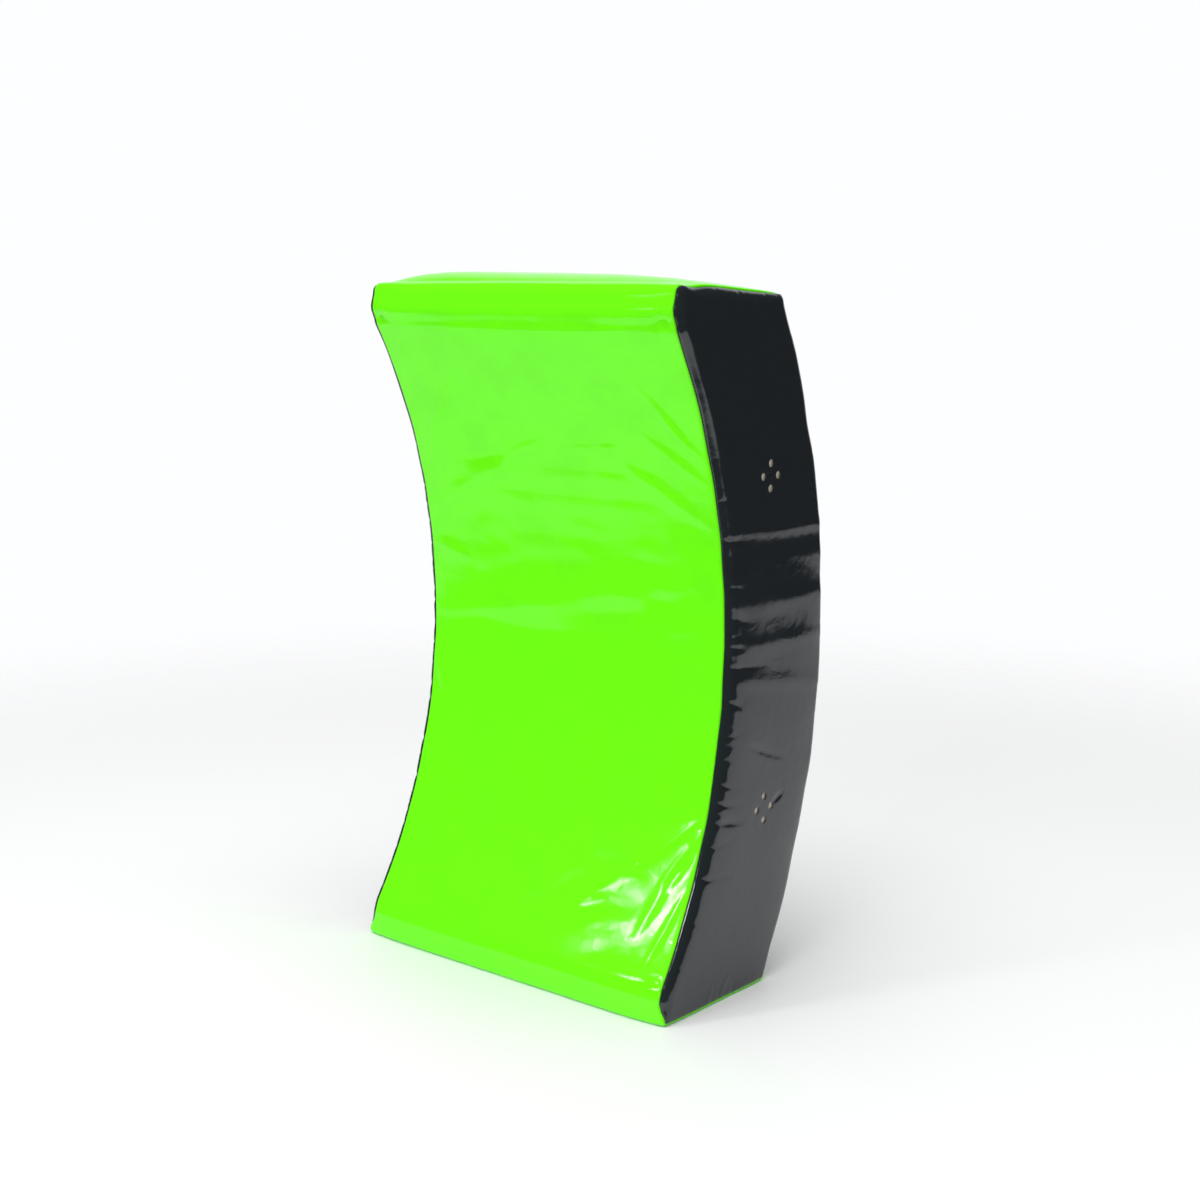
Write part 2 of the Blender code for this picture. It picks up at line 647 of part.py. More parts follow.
def handle_grip(name, frame):
    """A padded sleeve round the middle of the loop, with rounded ends and a slot for the webbing."""
    mesh_data = bmesh.new()
    rounding = [(pi / 2 * step / CORNER_STEPS) for step in range(CORNER_STEPS + 1)]
    ends = [(GRIP_END * (1 - cos(turn)), GRIP_END * GRIP_END_SHARE * (1 - sin(turn))) for turn in rounding]
    levels = [(-GRIP_LENGTH / 2 + along, inset) for along, inset in ends]
    levels += [(-along, inset) for along, inset in reversed(levels)]
    loops = []
    for along, inset in levels:
        loop = []
        for index in range(GRIP_SIDES):
            turn = 2 * pi * index / GRIP_SIDES
            x = (GRIP_WIDTH / 2 - inset) * squared(cos(turn))
            y = HANDLE_RISE + (GRIP_DEPTH / 2 - inset) * squared(sin(turn))
            loop.append(mesh_data.verts.new((x, y, along)))
        loops.append(loop)
    bridge_loops(mesh_data, loops)
    grip = new_object(name, mesh_data, "black_vinyl", frame)
    slot = bmesh.new()
    half_width = WEBBING_WIDTH / 2 + GAP
    half_depth = WEBBING_THICKNESS / 2 + GAP
    add_box(slot, (-half_width, HANDLE_RISE - half_depth, -GRIP_LENGTH),
            (half_width, HANDLE_RISE + half_depth, GRIP_LENGTH))
    use_boolean(grip, new_object(name + "_slot", slot, "webbing", frame), "DIFFERENCE")


def squared(value):
    """A sine or cosine pushed outwards, which turns a circle into a rounded rectangle."""
    return abs(value) ** GRIP_SQUARENESS * (1 if value > 0 else -1)


def handle_patch(name, x, side):
    """A cloth patch with rounded corners on the back, under one sewn end of the webbing."""
    inner = profile_lines(-GAP)[1]
    outer = profile_lines(-GAP - PATCH_THICKNESS)[1]
    near = ANCHOR_SPACING / 2 - PATCH_FORWARD
    far = ANCHOR_SPACING / 2 + WEBBING_SEWN + PATCH_MARGIN
    rounding = [pi / 2 * step / CORNER_STEPS for step in range(CORNER_STEPS + 1)]
    corner = [(PATCH_CORNER * (1 - cos(turn)), PATCH_CORNER * (1 - sin(turn))) for turn in rounding]
    middle = back_length() / 2
    widths = {}
    for along, inset in corner:
        widths[back_row(middle + side * (near + along))] = PATCH_WIDTH / 2 - inset
        widths[back_row(middle + side * (far - along))] = PATCH_WIDTH / 2 - inset
    for row in rows_between(min(widths), max(widths)):
        widths.setdefault(row, PATCH_WIDTH / 2)
    mesh_data = bmesh.new()
    loops = []
    for row in sorted(widths):
        low, high = on_line(inner, row), on_line(outer, row)
        half = widths[row]
        loops.append([mesh_data.verts.new((x + sign * half, point.x, point.y))
                      for sign, point in ((-1, low), (1, low), (1, high), (-1, high))])
    bridge_loops(mesh_data, loops)
    new_object(name, mesh_data, "black_vinyl")


def handle(label, x):
    """One handle: two patches, two sewn ends, the loop that swings and the grip on it."""
    frame = new_frame(label + "_pivot", handle_placement(x))
    low, high = swing_level(-1), swing_level(1)
    end = ANCHOR_SPACING
    webbing_piece(label + "_sewn_end_lower", -end, low - GAP / 2, frame)
    webbing_piece(label + "_loop", low + GAP / 2, high - GAP / 2, frame)
    webbing_piece(label + "_sewn_end_upper", high + GAP / 2, end, frame)
    handle_grip(label + "_grip", frame)
    handle_patch(label + "_patch_lower", x, -1)
    handle_patch(label + "_patch_upper", x, 1)


def build():
    clear_scene()
    zip_frame = new_frame("zip_frame", zip_placement())
    foam_core(zip_frame)
    wrap_panel()
    side_panel("side_panel_left", -1)
    side_panel("side_panel_right", 1)
    back_panels()
    zip_closure(zip_frame)
    handle("handle_left", -HANDLE_SPACING / 2)
    handle("handle_right", HANDLE_SPACING / 2)


build()
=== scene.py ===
"""Looks of the curved tackle pad: coated cloth cover, foam, vents, zip, webbing handles and studio.

Metres, +Z up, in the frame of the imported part. The hollow front faces -Y and left is -X.
"""
import json
from math import atan2, cos, pi, radians, sin, sqrt

import bmesh
import bpy
import numpy as np
from bpy.props import FloatProperty, FloatVectorProperty, IntProperty, PointerProperty
from mathutils import Matrix, Vector
from mathutils.kdtree import KDTree


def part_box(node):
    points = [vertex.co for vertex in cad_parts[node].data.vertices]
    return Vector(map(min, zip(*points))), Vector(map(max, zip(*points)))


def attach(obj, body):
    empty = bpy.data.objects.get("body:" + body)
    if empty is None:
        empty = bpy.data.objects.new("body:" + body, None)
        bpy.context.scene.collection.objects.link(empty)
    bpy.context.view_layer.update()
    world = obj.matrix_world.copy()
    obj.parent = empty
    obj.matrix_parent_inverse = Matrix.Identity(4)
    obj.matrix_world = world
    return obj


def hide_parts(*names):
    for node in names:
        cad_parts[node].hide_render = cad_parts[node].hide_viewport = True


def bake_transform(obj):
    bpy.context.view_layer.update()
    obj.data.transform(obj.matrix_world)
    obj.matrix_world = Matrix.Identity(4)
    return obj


bl_info = {
    "name": "Curved tackle pad",
    "version": (1, 0, 0),
    "blender": (4, 5, 0),
    "location": "View3D > Sidebar > Tackle pad",
    "description": "Builds the sewn cover, foam, zip and handles of a curved tackle pad",
    "category": "Object",
}

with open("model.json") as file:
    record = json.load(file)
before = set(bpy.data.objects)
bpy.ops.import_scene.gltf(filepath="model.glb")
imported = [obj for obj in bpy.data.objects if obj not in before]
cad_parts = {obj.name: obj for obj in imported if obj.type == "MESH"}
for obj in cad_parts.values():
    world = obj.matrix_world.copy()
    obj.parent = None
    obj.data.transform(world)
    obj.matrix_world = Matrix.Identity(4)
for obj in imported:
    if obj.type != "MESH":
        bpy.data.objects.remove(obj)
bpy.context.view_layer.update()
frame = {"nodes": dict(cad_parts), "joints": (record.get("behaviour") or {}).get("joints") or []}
FLOOR_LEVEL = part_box("wrap_panel")[0].z

# Spans of the lattice that the cover settles on, with finer rows round the profile's corners
ACROSS = 86
DEEP = 35
CORNER_ROWS = 5
BODY_ROWS = 146
ROWS = BODY_ROWS + 2 * CORNER_ROWS


def a_length(name, description, default):
    """A size that a user can change, in metres."""
    return FloatProperty(name=name, description=description, default=default, unit="LENGTH")


def a_share(name, description, default, **limits):
    """A plain factor that a user can change."""
    return FloatProperty(name=name, description=description, default=default, subtype="FACTOR", **limits)


def an_angle(name, description, degrees):
    """An angle that a user can change."""
    return FloatProperty(name=name, description=description, default=radians(degrees), subtype="ANGLE")


class TacklePadForm(bpy.types.PropertyGroup):
    """Sizes of the pad's body, which the cover and the foam follow"""
    front_height: a_length("Front height", "Length of the hollow front's chord", 0.760)
    back_height: a_length("Back height", "Length of the back's chord", 0.751)
    end_depth: a_length("End depth", "Depth of the top and bottom faces", 0.176)
    hollow: a_length("Hollow", "Depth of the front's arc behind its chord", 0.098)
    back_bow: a_length("Back bow", "Reach of the back's arc past its chord", 0.098)
    width: a_length("Width", "Across the pad at its ends, with the rolled side seams", 0.447)
    nose: a_length("Nose", "Height of the padded roll above the hollow", 0.0400)
    foot: a_length("Foot", "Height of the padded roll below the hollow", 0.0345)
    nose_radius: a_length("Nose radius", "Rounding of the front's upper end", 0.015)
    foot_radius: a_length("Foot radius", "Rounding of the front's lower end", 0.0055)
    nose_bulge: a_length("Nose bulge", "How far the upper roll stands proud", 0.0030)
    foot_flare: a_length("Foot flare", "How far the pad's foot spreads on the floor", 0.0022)
    crease: a_length("Crease", "Depth of the crease beside each roll", 0.0018)
    crease_width: a_length("Crease width", "Half width of that crease", 0.0045)
    heel_radius: a_length("Heel radius", "Rounding of the back's two ends", 0.004)
    front_crown: a_length("Front crown", "Swell of the front between its seams", 0.005)
    side_crown: a_length("Side crown", "Swell of the sides between their seams", 0.003)
    top_crown: a_length("Top crown", "Swell of the top face", 0.013)
    end_lift: a_length("End lift", "How far the upper roll swells upwards", 0.003)
    draw_in: a_length("Draw in", "How far the sides pull in at mid height", 0.001)
    flat_share: a_share("Flat share", "Share of the width with no curve to the seam", 0.65,
                        min=0.0, max=0.95)


class TacklePadCloth(bpy.types.PropertyGroup):
    """How the coated cloth settles over the foam"""
    front_slack: a_share("Front slack", "Spare length of the front, as a share", 0.016)
    back_slack: a_share("Back slack", "Spare length of the back, as a share", 0.004)
    cross_slack: a_share("Cross slack", "Spare width of every panel, as a share", 0.006)
    push: FloatProperty(name="Push", description="Pressure of the foam on the cloth", default=0.6)
    stiffness: FloatProperty(name="Bending stiffness", description="Resistance of the cloth to folds",
                             default=2.0)
    steps: IntProperty(name="Steps", description="Frames for which the cloth settles", default=20)
    most_move: a_length("Most movement", "Furthest that the cloth leaves the foam", 0.006)
    side_share: a_share("Side share", "How much of the movement the sides keep", 0.35)
    green: FloatVectorProperty(name="Green", description="Colour of the wrap panel", subtype="COLOR",
                               default=(0.150, 0.930, 0.006))
    black: FloatVectorProperty(name="Black", description="Colour of the side and back panels",
                               subtype="COLOR", default=(0.014, 0.018, 0.021))


class TacklePadHandles(bpy.types.PropertyGroup):
    """Sizes of the two webbing handles on the back"""
    spacing: a_length("Anchor spacing", "Along the back between a handle's two roots", 0.250)
    rise: a_length("Rise", "From the roots' line to the strap at the grip", 0.058)
    run: a_length("Run", "Between the strap's two shoulders", 0.136)
    sewn: a_length("Sewn length", "Strap length that is sewn down at each end", 0.045)
    webbing_width: a_length("Webbing width", "Across the strap", 0.038)
    webbing_thickness: a_length("Webbing thickness", "Through the strap", 0.0020)
    grip_length: a_length("Grip length", "Along the padded sleeve", 0.116)
    grip_width: a_length("Grip width", "Across the padded sleeve", 0.046)
    grip_depth: a_length("Grip depth", "Through the padded sleeve", 0.017)
    patch_width: a_length("Patch width", "Across the patch under a sewn end", 0.060)
    patch_thickness: a_length("Patch thickness", "Through that patch", 0.0010)
    patch_corner: a_length("Patch corner", "Rounding of the patch's corners", 0.008)


class TacklePadStudio(bpy.types.PropertyGroup):
    """Camera, lights and floor"""
    yaw: an_angle("Yaw", "Camera's turn from the front towards the right side", 40.19)
    pitch: an_angle("Pitch", "Camera's height above its aim, as an angle", 9.92)
    distance: a_length("Distance", "From the camera to its aim", 2.0766)
    aim: FloatVectorProperty(name="Aim", description="The point in the middle of the picture",
                             default=(0.0250, 0.0414, 0.4111), subtype="XYZ")
    lens: FloatProperty(name="Lens", description="Focal length in millimetres", default=55.67)
    key_place: FloatVectorProperty(name="Key light", description="Where the soft key light stands",
                                   default=(-1.30, -2.46, 1.35), subtype="XYZ")
    key_power: FloatProperty(name="Key power", description="Watts of the key light", default=0.32)
    key_spread: an_angle("Key spread", "Angle of the key's beam", 26)


def smooth_step(value, low, high):
    """0 below low, 1 above high and a smooth rise between them."""
    share = np.clip((value - low) / (high - low), 0.0, 1.0)
    return share * share * (3 - 2 * share)


def lengths_along(points):
    """The distance from the first point of a line to each of its points."""
    return np.concatenate([[0.0], np.cumsum(np.linalg.norm(np.diff(points, axis=0), axis=1))])


def resample(points, count):
    """A line read at equal distances, with its two ends kept."""
    along = lengths_along(points)
    places = np.linspace(0, along[-1], count)
    return np.stack([np.interp(places, along, points[:, axis]) for axis in range(points.shape[1])], 1)


def unit(vectors):
    return vectors / np.maximum(np.linalg.norm(vectors, axis=-1, keepdims=True), 1e-12)


def grid_normals(grid):
    return unit(np.cross(np.gradient(grid, axis=0), np.gradient(grid, axis=1)))


def paired(first, second):
    """Two arrays of coordinates as one of pairs."""
    return np.stack(np.broadcast_arrays(first, second), -1)


def square_to(tangent):
    """The way out of a profile line that runs round the pad, from its tangents."""
    return unit(np.stack([-tangent[:, 1], tangent[:, 0]], 1))


def ring_out(ring):
    """The way out at each point of a closed profile line."""
    return square_to(np.roll(ring, -1, 0) - np.roll(ring, 1, 0))


def rounded_corner(before, corner, after, radius, count):
    """Points of the arc that rounds a corner, from its first side to its second."""
    to_before, to_after = unit(before - corner), unit(after - corner)
    half_angle = np.arccos(np.clip(to_before @ to_after, -1, 1)) / 2
    centre = corner + unit(to_before + to_after) * radius / sin(half_angle)
    start = corner + to_before * radius / np.tan(half_angle) - centre
    end = corner + to_after * radius / np.tan(half_angle) - centre
    sweep = atan2(start[0] * end[1] - start[1] * end[0], start @ end)
    turns = np.linspace(0, sweep, count)
    return centre + np.stack([start[0] * np.cos(turns) - start[1] * np.sin(turns),
                              start[0] * np.sin(turns) + start[1] * np.cos(turns)], 1)


def softened(values, reach):
    """Values smoothed with their neighbours, and unchanged at both ends."""
    weights = np.hanning(2 * reach + 3)
    padded = np.pad(values, reach + 1, mode="reflect", reflect_type="odd")
    return np.convolve(padded, weights / weights.sum(), mode="valid")


def arc_line(depth, half_height, sag, count):
    """An arc from bottom to top that bulges backwards from its chord."""
    radius = (half_height ** 2 + sag ** 2) / (2 * sag)
    centre = depth + sag - radius
    end = atan2(half_height, depth - centre)
    turns = np.linspace(-end, end, count)
    return np.stack([centre + radius * np.cos(turns), radius * np.sin(turns)], 1)


def upside_down(points):
    return points[::-1] * (1, -1)


def stand_up(points, form):
    """Turn profile points so that the raked bottom face lies on the floor, its middle at zero."""
    rake = atan2((form.front_height - form.back_height) / 2, form.end_depth)
    moved = points + (-form.end_depth / 2, (form.front_height + form.back_height) / 4)
    return np.stack([moved[:, 0] * cos(rake) + moved[:, 1] * sin(rake),
                     moved[:, 1] * cos(rake) - moved[:, 0] * sin(rake) + FLOOR_LEVEL], 1)


def with_rows(low_corner, body, high_corner):
    """The rows of a profile line. Both corners are given as they lie at its lower end."""
    low, high = (resample(corner, CORNER_ROWS + 1) for corner in (low_corner, high_corner))
    middle = resample(body, BODY_ROWS + 1)
    return np.concatenate([low, middle[1:-1], upside_down(high)])


def front_profile(form):
    """The front from the bottom face to the top face: foot, crease, hollow, crease, nose."""
    fine = 600
    corner = np.array((0.0, -form.front_height / 2))
    heel = np.array((form.end_depth, -form.back_height / 2))
    ends = []
    for radius, height in ((form.foot_radius, form.foot), (form.nose_radius, form.nose)):
        crease = corner + (0.0, height)
        ends.append((rounded_corner(heel, corner, crease, radius, fine), crease))
    (low, low_crease), (high, high_crease) = ends
    arc = arc_line(0.0, -(low_crease + high_crease)[1] / 2, form.hollow, 4 * fine)
    arc[:, 1] += (low_crease - high_crease)[1] / 2
    share = np.linspace(0, 1, fine)[:, None]
    body = np.concatenate([low[-1] + share * (arc[0] - low[-1]), arc[1:-1],
                           arc[-1] + share * (high[-1] * (1, -1) - arc[-1])])
    body = resample(body, 4 * fine)
    along = lengths_along(body)
    for away, end, bulge in ((along, low_crease[1] - low[-1][1], 0.0),
                             (along[-1] - along, high_crease[1] - high[-1][1], form.nose_bulge)):
        body[:, 0] -= bulge * np.sin(pi * np.clip(away / end, 0, 1)) ** 1.5
        body[:, 0] += form.crease * bell(away - end, form.crease_width)
    body[:, 0] = softened(body[:, 0], 8)
    return stand_up(with_rows(low, body, high), form)


def back_profile(form):
    """The back from the bottom face to the top face."""
    fine = 600
    corner = np.array((form.end_depth, -form.back_height / 2))
    nose = np.array((0.0, -form.front_height / 2))
    arc = arc_line(form.end_depth, form.back_height / 2, form.back_bow, fine)
    rounding = rounded_corner(nose, corner, arc[fine // 20], form.heel_radius, fine)
    keep = (arc[:, 1] > rounding[-1][1]) & (arc[:, 1] < -rounding[-1][1])
    body = np.concatenate([rounding[-1:], arc[keep], upside_down(rounding[-1:])])
    return stand_up(with_rows(rounding, body, rounding), form)


# How much higher the top swells on the left, and the share of the foot's flare that the sides get
TOP_LEAN = 0.30
SIDE_FLARE = 0.4


def pad_lattice(form):
    """Points across (first index), through (second) and up (third) the pad."""
    front, back = front_profile(form), back_profile(form)
    depth = np.linspace(0, 1, DEEP + 1)[None, :, None]
    across = np.linspace(-1, 1, ACROSS + 1)[:, None, None]
    flat_y = front[None, None, :, 0] * (1 - depth) + back[None, None, :, 0] * depth
    flat_z = front[None, None, :, 1] * (1 - depth) + back[None, None, :, 1] * depth
    edge = np.maximum(0.0, (abs(across) - form.flat_share) / (1 - form.flat_share))
    swell = 1 - edge ** 2
    level = 2 * (flat_z - FLOOR_LEVEL) / form.front_height - 1
    half = form.width / 2 - form.draw_in * (1 - level ** 2)
    half = half + form.side_crown * (1 - (2 * depth - 1) ** 4) * (1 - level ** 8)
    top = np.zeros(ROWS + 1)
    top[-1] = form.top_crown
    top_swell = (1 - (abs(across) ** 5)) * (1 - TOP_LEAN * across)
    points = np.empty((ACROSS + 1, DEEP + 1, ROWS + 1, 3))
    points[..., 0] = across * half
    points[..., 1] = flat_y - form.front_crown * swell * (1 - depth)
    points[..., 2] = flat_z + top * top_swell * (1 - abs(2 * depth - 1) ** 5)
    points[..., 2] += upper_end(points, form)
    spread = form.foot_flare * (1 - smooth_step(points[..., 2], 0.0, 1.1 * form.foot))
    points[..., 1] -= spread * (1 - depth)
    points[..., 0] += spread * SIDE_FLARE * across
    uneven(points, across, depth)
    points[..., 2] = np.maximum(points[..., 2], FLOOR_LEVEL)
    return points


# The peak and the dip of the upper end's side seams: where each is behind the front, its half width
# and its height, and how far both reach in from the seam and down
SEAM_PEAK = (0.010, 0.014, 0.0060)
SEAM_DIP = (0.045, 0.022, -0.0030)
SEAM_REACH = 0.030
END_REACH = 0.028


def bell(distance, width):
    """1 at no distance, falling off smoothly on both sides over a half width."""
    return np.exp(-(distance / width) ** 2)


def upper_end(points, form):
    """The swell of the upper end, and its side seams: a peak at the front corner, then a dip."""
    beside = bell(abs(points[..., 0]) - form.width / 2, SEAM_REACH)
    under = bell(form.front_height - points[..., 2], END_REACH)
    back = points[..., 1] + form.end_depth / 2
    swell = form.end_lift * (1 - smooth_step(back, 0.02, 0.17))
    seam = sum(height * bell(back - middle, width) for middle, width, height in (SEAM_PEAK, SEAM_DIP))
    return (swell + seam * beside) * under


def uneven(points, across, depth):
    """Sewn edges that aren't quite straight: in width along all seams, in depth along the back ones."""
    edge = abs(across) ** 12 * np.sign(across) * (0.12 + 0.88 * abs(2 * depth - 1) ** 8)
    points[..., 0] += edge * soft_waves(points[..., 1:], 0.080, 0.0008, 3)
    edge_back = depth ** 8 * abs(across) ** 10
    upwards = points[..., ::2] * (0.0, 1.0)
    points[..., 1] += edge_back * soft_waves(upwards, 0.110, 0.0008, 4)


def surface_numbers():
    """A number for each lattice point on the surface, and -1 for those inside."""
    inside = np.zeros((ACROSS + 1, DEEP + 1, ROWS + 1), bool)
    inside[1:-1, 1:-1, 1:-1] = True
    numbers = np.full(inside.shape, -1)
    numbers[~inside] = np.arange((~inside).sum())
    return numbers, ~inside


def quads(numbers):
    """The faces of a grid of point numbers."""
    return np.stack([numbers[:-1, :-1], numbers[1:, :-1], numbers[1:, 1:], numbers[:-1, 1:]],
                    -1).reshape(-1, 4)


def hull_faces(numbers):
    """The faces of the lattice's six sides, all pointing out."""
    return np.concatenate([quads(numbers[:, 0, :]), quads(numbers[:, -1, :])[:, ::-1],
                           quads(numbers[0])[:, ::-1], quads(numbers[-1]),
                           quads(numbers[:, :, 0])[:, ::-1], quads(numbers[:, :, -1])])


def mesh_of(name, points, faces, edges=()):
    """A mesh of points with faces or loose edges."""
    mesh = bpy.data.meshes.new(name)
    faces = faces if isinstance(faces, list) else faces.tolist()
    mesh.from_pydata(np.asarray(points).tolist(), edges, faces)
    return mesh


def new_thing(name, data):
    """An object in the scene."""
    thing = bpy.data.objects.new(name, data)
    bpy.context.scene.collection.objects.link(thing)
    return thing


def new_body(name, points, faces, material, uv=None):
    """A smooth body in one material, with a pair of flat coordinates in metres for each point if given."""
    mesh = mesh_of(name, points, faces)
    mesh.materials.append(material)
    mesh.shade_smooth()
    if uv is not None:
        corners = np.empty(len(mesh.loops), int)
        mesh.loops.foreach_get("vertex_index", corners)
        layer = mesh.uv_layers.new(name="cloth")
        layer.data.foreach_set("uv", uv.reshape(-1, 2)[corners].astype(np.float32).ravel())
    return new_thing(name, mesh)


def fit(piece, body, slot, *nodes, fill=None):
    """Hide the nodes that a piece replaces and hang it on the body that it rides on. slot and fill are not
    used.
    """
    if nodes:
        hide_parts(*nodes)
    if body:
        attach(piece, body)


def held_by_seams(shape):
    """1 for the lattice points on the seams round both side panels, which hold still, and 0 elsewhere."""
    hold = np.zeros(shape)
    for side in (0, -1):
        for end in (0, -1):
            hold[side, end] = 1
            hold[side, :, end] = 1
    return hold


def settle(start, cut, hold, cloth):
    """Let the cloth, cut to its own size, settle over the pad, and read where it comes to rest."""
    numbers, on_surface = surface_numbers()
    scene = bpy.context.scene
    thing = new_thing("settling", mesh_of("settling", start[on_surface], hull_faces(numbers)))
    thing.shape_key_add(name="sewn")
    key = thing.shape_key_add(name="cut")
    key.data.foreach_set("co", cut[on_surface].astype(np.float32).ravel())
    group = thing.vertex_groups.new(name="seams")
    weights = hold[on_surface]
    for weight in np.unique(weights[weights > 0]):
        group.add(np.flatnonzero(weights == weight).tolist(), float(weight), "REPLACE")
    modifier = thing.modifiers.new("cloth", "CLOTH")
    settings = modifier.settings
    settings.quality = 5
    settings.mass = 0.3
    settings.tension_stiffness = settings.compression_stiffness = 40
    settings.shear_stiffness = 20
    settings.bending_stiffness = cloth.stiffness
    settings.air_damping = 3
    settings.vertex_group_mass = "seams"
    settings.rest_shape_key = key
    settings.use_pressure = True
    settings.uniform_pressure_force = cloth.push
    settings.effector_weights.gravity = 0
    modifier.collision_settings.use_collision = False
    modifier.point_cache.frame_end = cloth.steps
    for step in range(1, cloth.steps + 1):
        scene.frame_set(step)
    settled = thing.evaluated_get(bpy.context.evaluated_depsgraph_get()).data
    places = np.empty(len(settled.vertices) * 3, np.float32)
    settled.vertices.foreach_get("co", places)
    scene.frame_set(1)
    bpy.data.objects.remove(thing)
    result = start.copy()
    result[on_surface] = places.reshape(-1, 3)
    return result


def cut_size(start, form, cloth):
    """The lattice at the size that the cloth was cut to: longer than the pad, most at the front."""
    depth = np.linspace(0, 1, DEEP + 1)[None, :, None]
    slack = cloth.front_slack * (1 - depth) + cloth.back_slack * depth
    cut = start.copy()
    middle = form.front_height / 2
    cut[..., 2] = middle + (start[..., 2] - middle) * (1 + slack)
    cut[..., 0] *= 1 + cloth.cross_slack
    cut[..., 1] += (depth - 0.5) * form.end_depth * cloth.cross_slack
    return cut


class Axes:
    """A frame of its own in the pad's: an origin and three ways."""

    def __init__(self, origin, *ways):
        self.origin = np.array(origin)
        self.ways = np.array(ways)

    def world(self, *places):
        """The points at places along the three ways."""
        return self.origin + sum(place[..., None] * way
                                 for place, way in zip(np.broadcast_arrays(*places), self.ways))


ACROSS_THE_PAD = np.array((1.0, 0.0, 0.0))
TAB_PIVOT_LEVEL = 0.00205


def joint_line(name):
    """The point and the way of a joint's axis, and the way out of the back, square to it and to X."""
    joint = next(joint for joint in frame["joints"] if joint["name"] == name)
    way = unit(np.array(joint["axis"], float))
    return np.array(joint["pos_m"]), way, np.array((0.0, way[2], -way[1]))


def zip_axes():
    """The zip's own frame: along it, down the back and out of the cover."""
    pivot, up, out = joint_line("zip_tab_flip")
    return Axes((pivot - out * TAB_PIVOT_LEVEL) * (0, 1, 1), ACROSS_THE_PAD, -up, out)


# The lattice as sewn and as settled, and the points of each finished panel with their way out
PAD = {}


class TACKLEPAD_OT_form(bpy.types.Operator):
    """Lay out the pad's body and let its cloth settle over it"""
    bl_idname = "tacklepad.form"
    bl_label = "Form and settled cloth"

    def execute(self, context):
        form, cloth = context.scene.tacklepad_form, context.scene.tacklepad_cloth
        start = pad_lattice(form)
        PAD["sewn"] = start
        PAD["settled"] = start
        settled = settle(start, cut_size(start, form, cloth), held_by_seams(start.shape[:3]), cloth)
        move = limited(start, settled - start, cloth.most_move)
        move[[0, -1]] *= cloth.side_share
        PAD["settled"] = start + move * free_to_move(start)[..., None]
        return {"FINISHED"}


def lattice_normals(points):
    """The way out of the pad at each surface point of the lattice."""
    out = np.zeros_like(points)
    every = slice(None)
    for face, way in (((every, 0), 1), ((every, -1), -1), ((0,), -1), ((-1,), 1),
                      ((every, every, 0), -1), ((every, every, -1), 1)):
        out[face] += grid_normals(points[face]) * way
    return unit(out)


# How far from the zip the cloth is still and free again, and the same from a patch
ZIP_CALM = (0.010, 0.040)
PATCH_CALM = (0.0, 0.035)


def free_to_move(points):
    """1 where the cloth may move, down to 0 beside the zip and under the handles' patches."""
    x, z = points[..., 0], points[..., 2]
    free = smooth_step(abs(z - zip_axes().origin[2]), *ZIP_CALM)
    for label in ("left", "right"):
        for level in ("lower", "upper"):
            low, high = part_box(f"handle_{label}_patch_{level}")
            outside = (np.maximum(np.maximum(low.x - x, x - high.x), 0),
                       np.maximum(np.maximum(low.z - z, z - high.z), 0))
            free = free * smooth_step(np.hypot(*outside), *PATCH_CALM)
    depth = np.linspace(0, 1, DEEP + 1)[None, :, None]
    return 1 - (1 - free) * smooth_step(depth, 0.80, 0.95)


def limited(start, move, most):
    """Movement capped at a distance, and held back where it would press into the foam."""
    normals = lattice_normals(start)
    outward = (move * normals).sum(-1, keepdims=True)
    move = move - normals * np.minimum(outward, 0) * 0.6
    length = np.linalg.norm(move, axis=-1, keepdims=True)
    move = move * np.tanh(length / most) * most / np.maximum(length, 1e-9)
    floor = start[..., 2] < FLOOR_LEVEL + 0.0005
    move[..., 2] = np.where(floor, np.maximum(move[..., 2], 0), move[..., 2])
    return move


def cubic_weights(places, count, closed=False):
    """Weights that read a line of points at fractional places along a smooth curve."""
    low = np.floor(places).astype(int)
    if not closed:
        low = np.clip(low, 0, count - 2)
    t = places - low
    parts = ((-t + 2 * t ** 2 - t ** 3) / 2, (2 - 5 * t ** 2 + 3 * t ** 3) / 2,
             (t + 4 * t ** 2 - 3 * t ** 3) / 2, (t ** 3 - t ** 2) / 2)
    weights = np.zeros((len(places), count))
    for shift, part in zip((-1, 0, 1, 2), parts):
        index = (low + shift) % count if closed else np.clip(low + shift, 0, count - 1)
        np.add.at(weights, (np.arange(len(places)), index), part)
    return weights


def graded(length, step, edge_step, edge_width):
    """Distances from 0 to a length, closer together near both ends."""
    fine = np.linspace(0, length, 6000)
    near = smooth_step(np.minimum(fine, length - fine), 0, edge_width)
    spacing = edge_step + (step - edge_step) * near
    count = np.concatenate([[0], np.cumsum(np.diff(fine) / spacing[1:])])
    return np.interp(np.linspace(0, count[-1], int(np.ceil(count[-1])) + 1), count, fine)


def belt(points):
    """The lattice's ring round the pad: bottom, front, top, then down the back."""
    return np.concatenate([points[:, :0:-1, 0], points[:, 0, :], points[:, 1:, -1],
                           points[:, -1, -2:0:-1]], axis=1)


BELT_COUNT = 2 * (DEEP + ROWS)
FRONT_START = DEEP
TOP_START = DEEP + ROWS
BACK_START = 2 * DEEP + ROWS


def belt_numbers():
    """Each belt point's number round the ring, by its places through and up the pad."""
    deep, rise = np.meshgrid(np.arange(DEEP + 1), np.arange(ROWS + 1), indexing="ij")
    ring = belt(np.stack([deep, rise], -1)[None])[0]
    return {(int(j), int(k)): number for number, (j, k) in enumerate(ring)}


BELT_INDEX = belt_numbers()


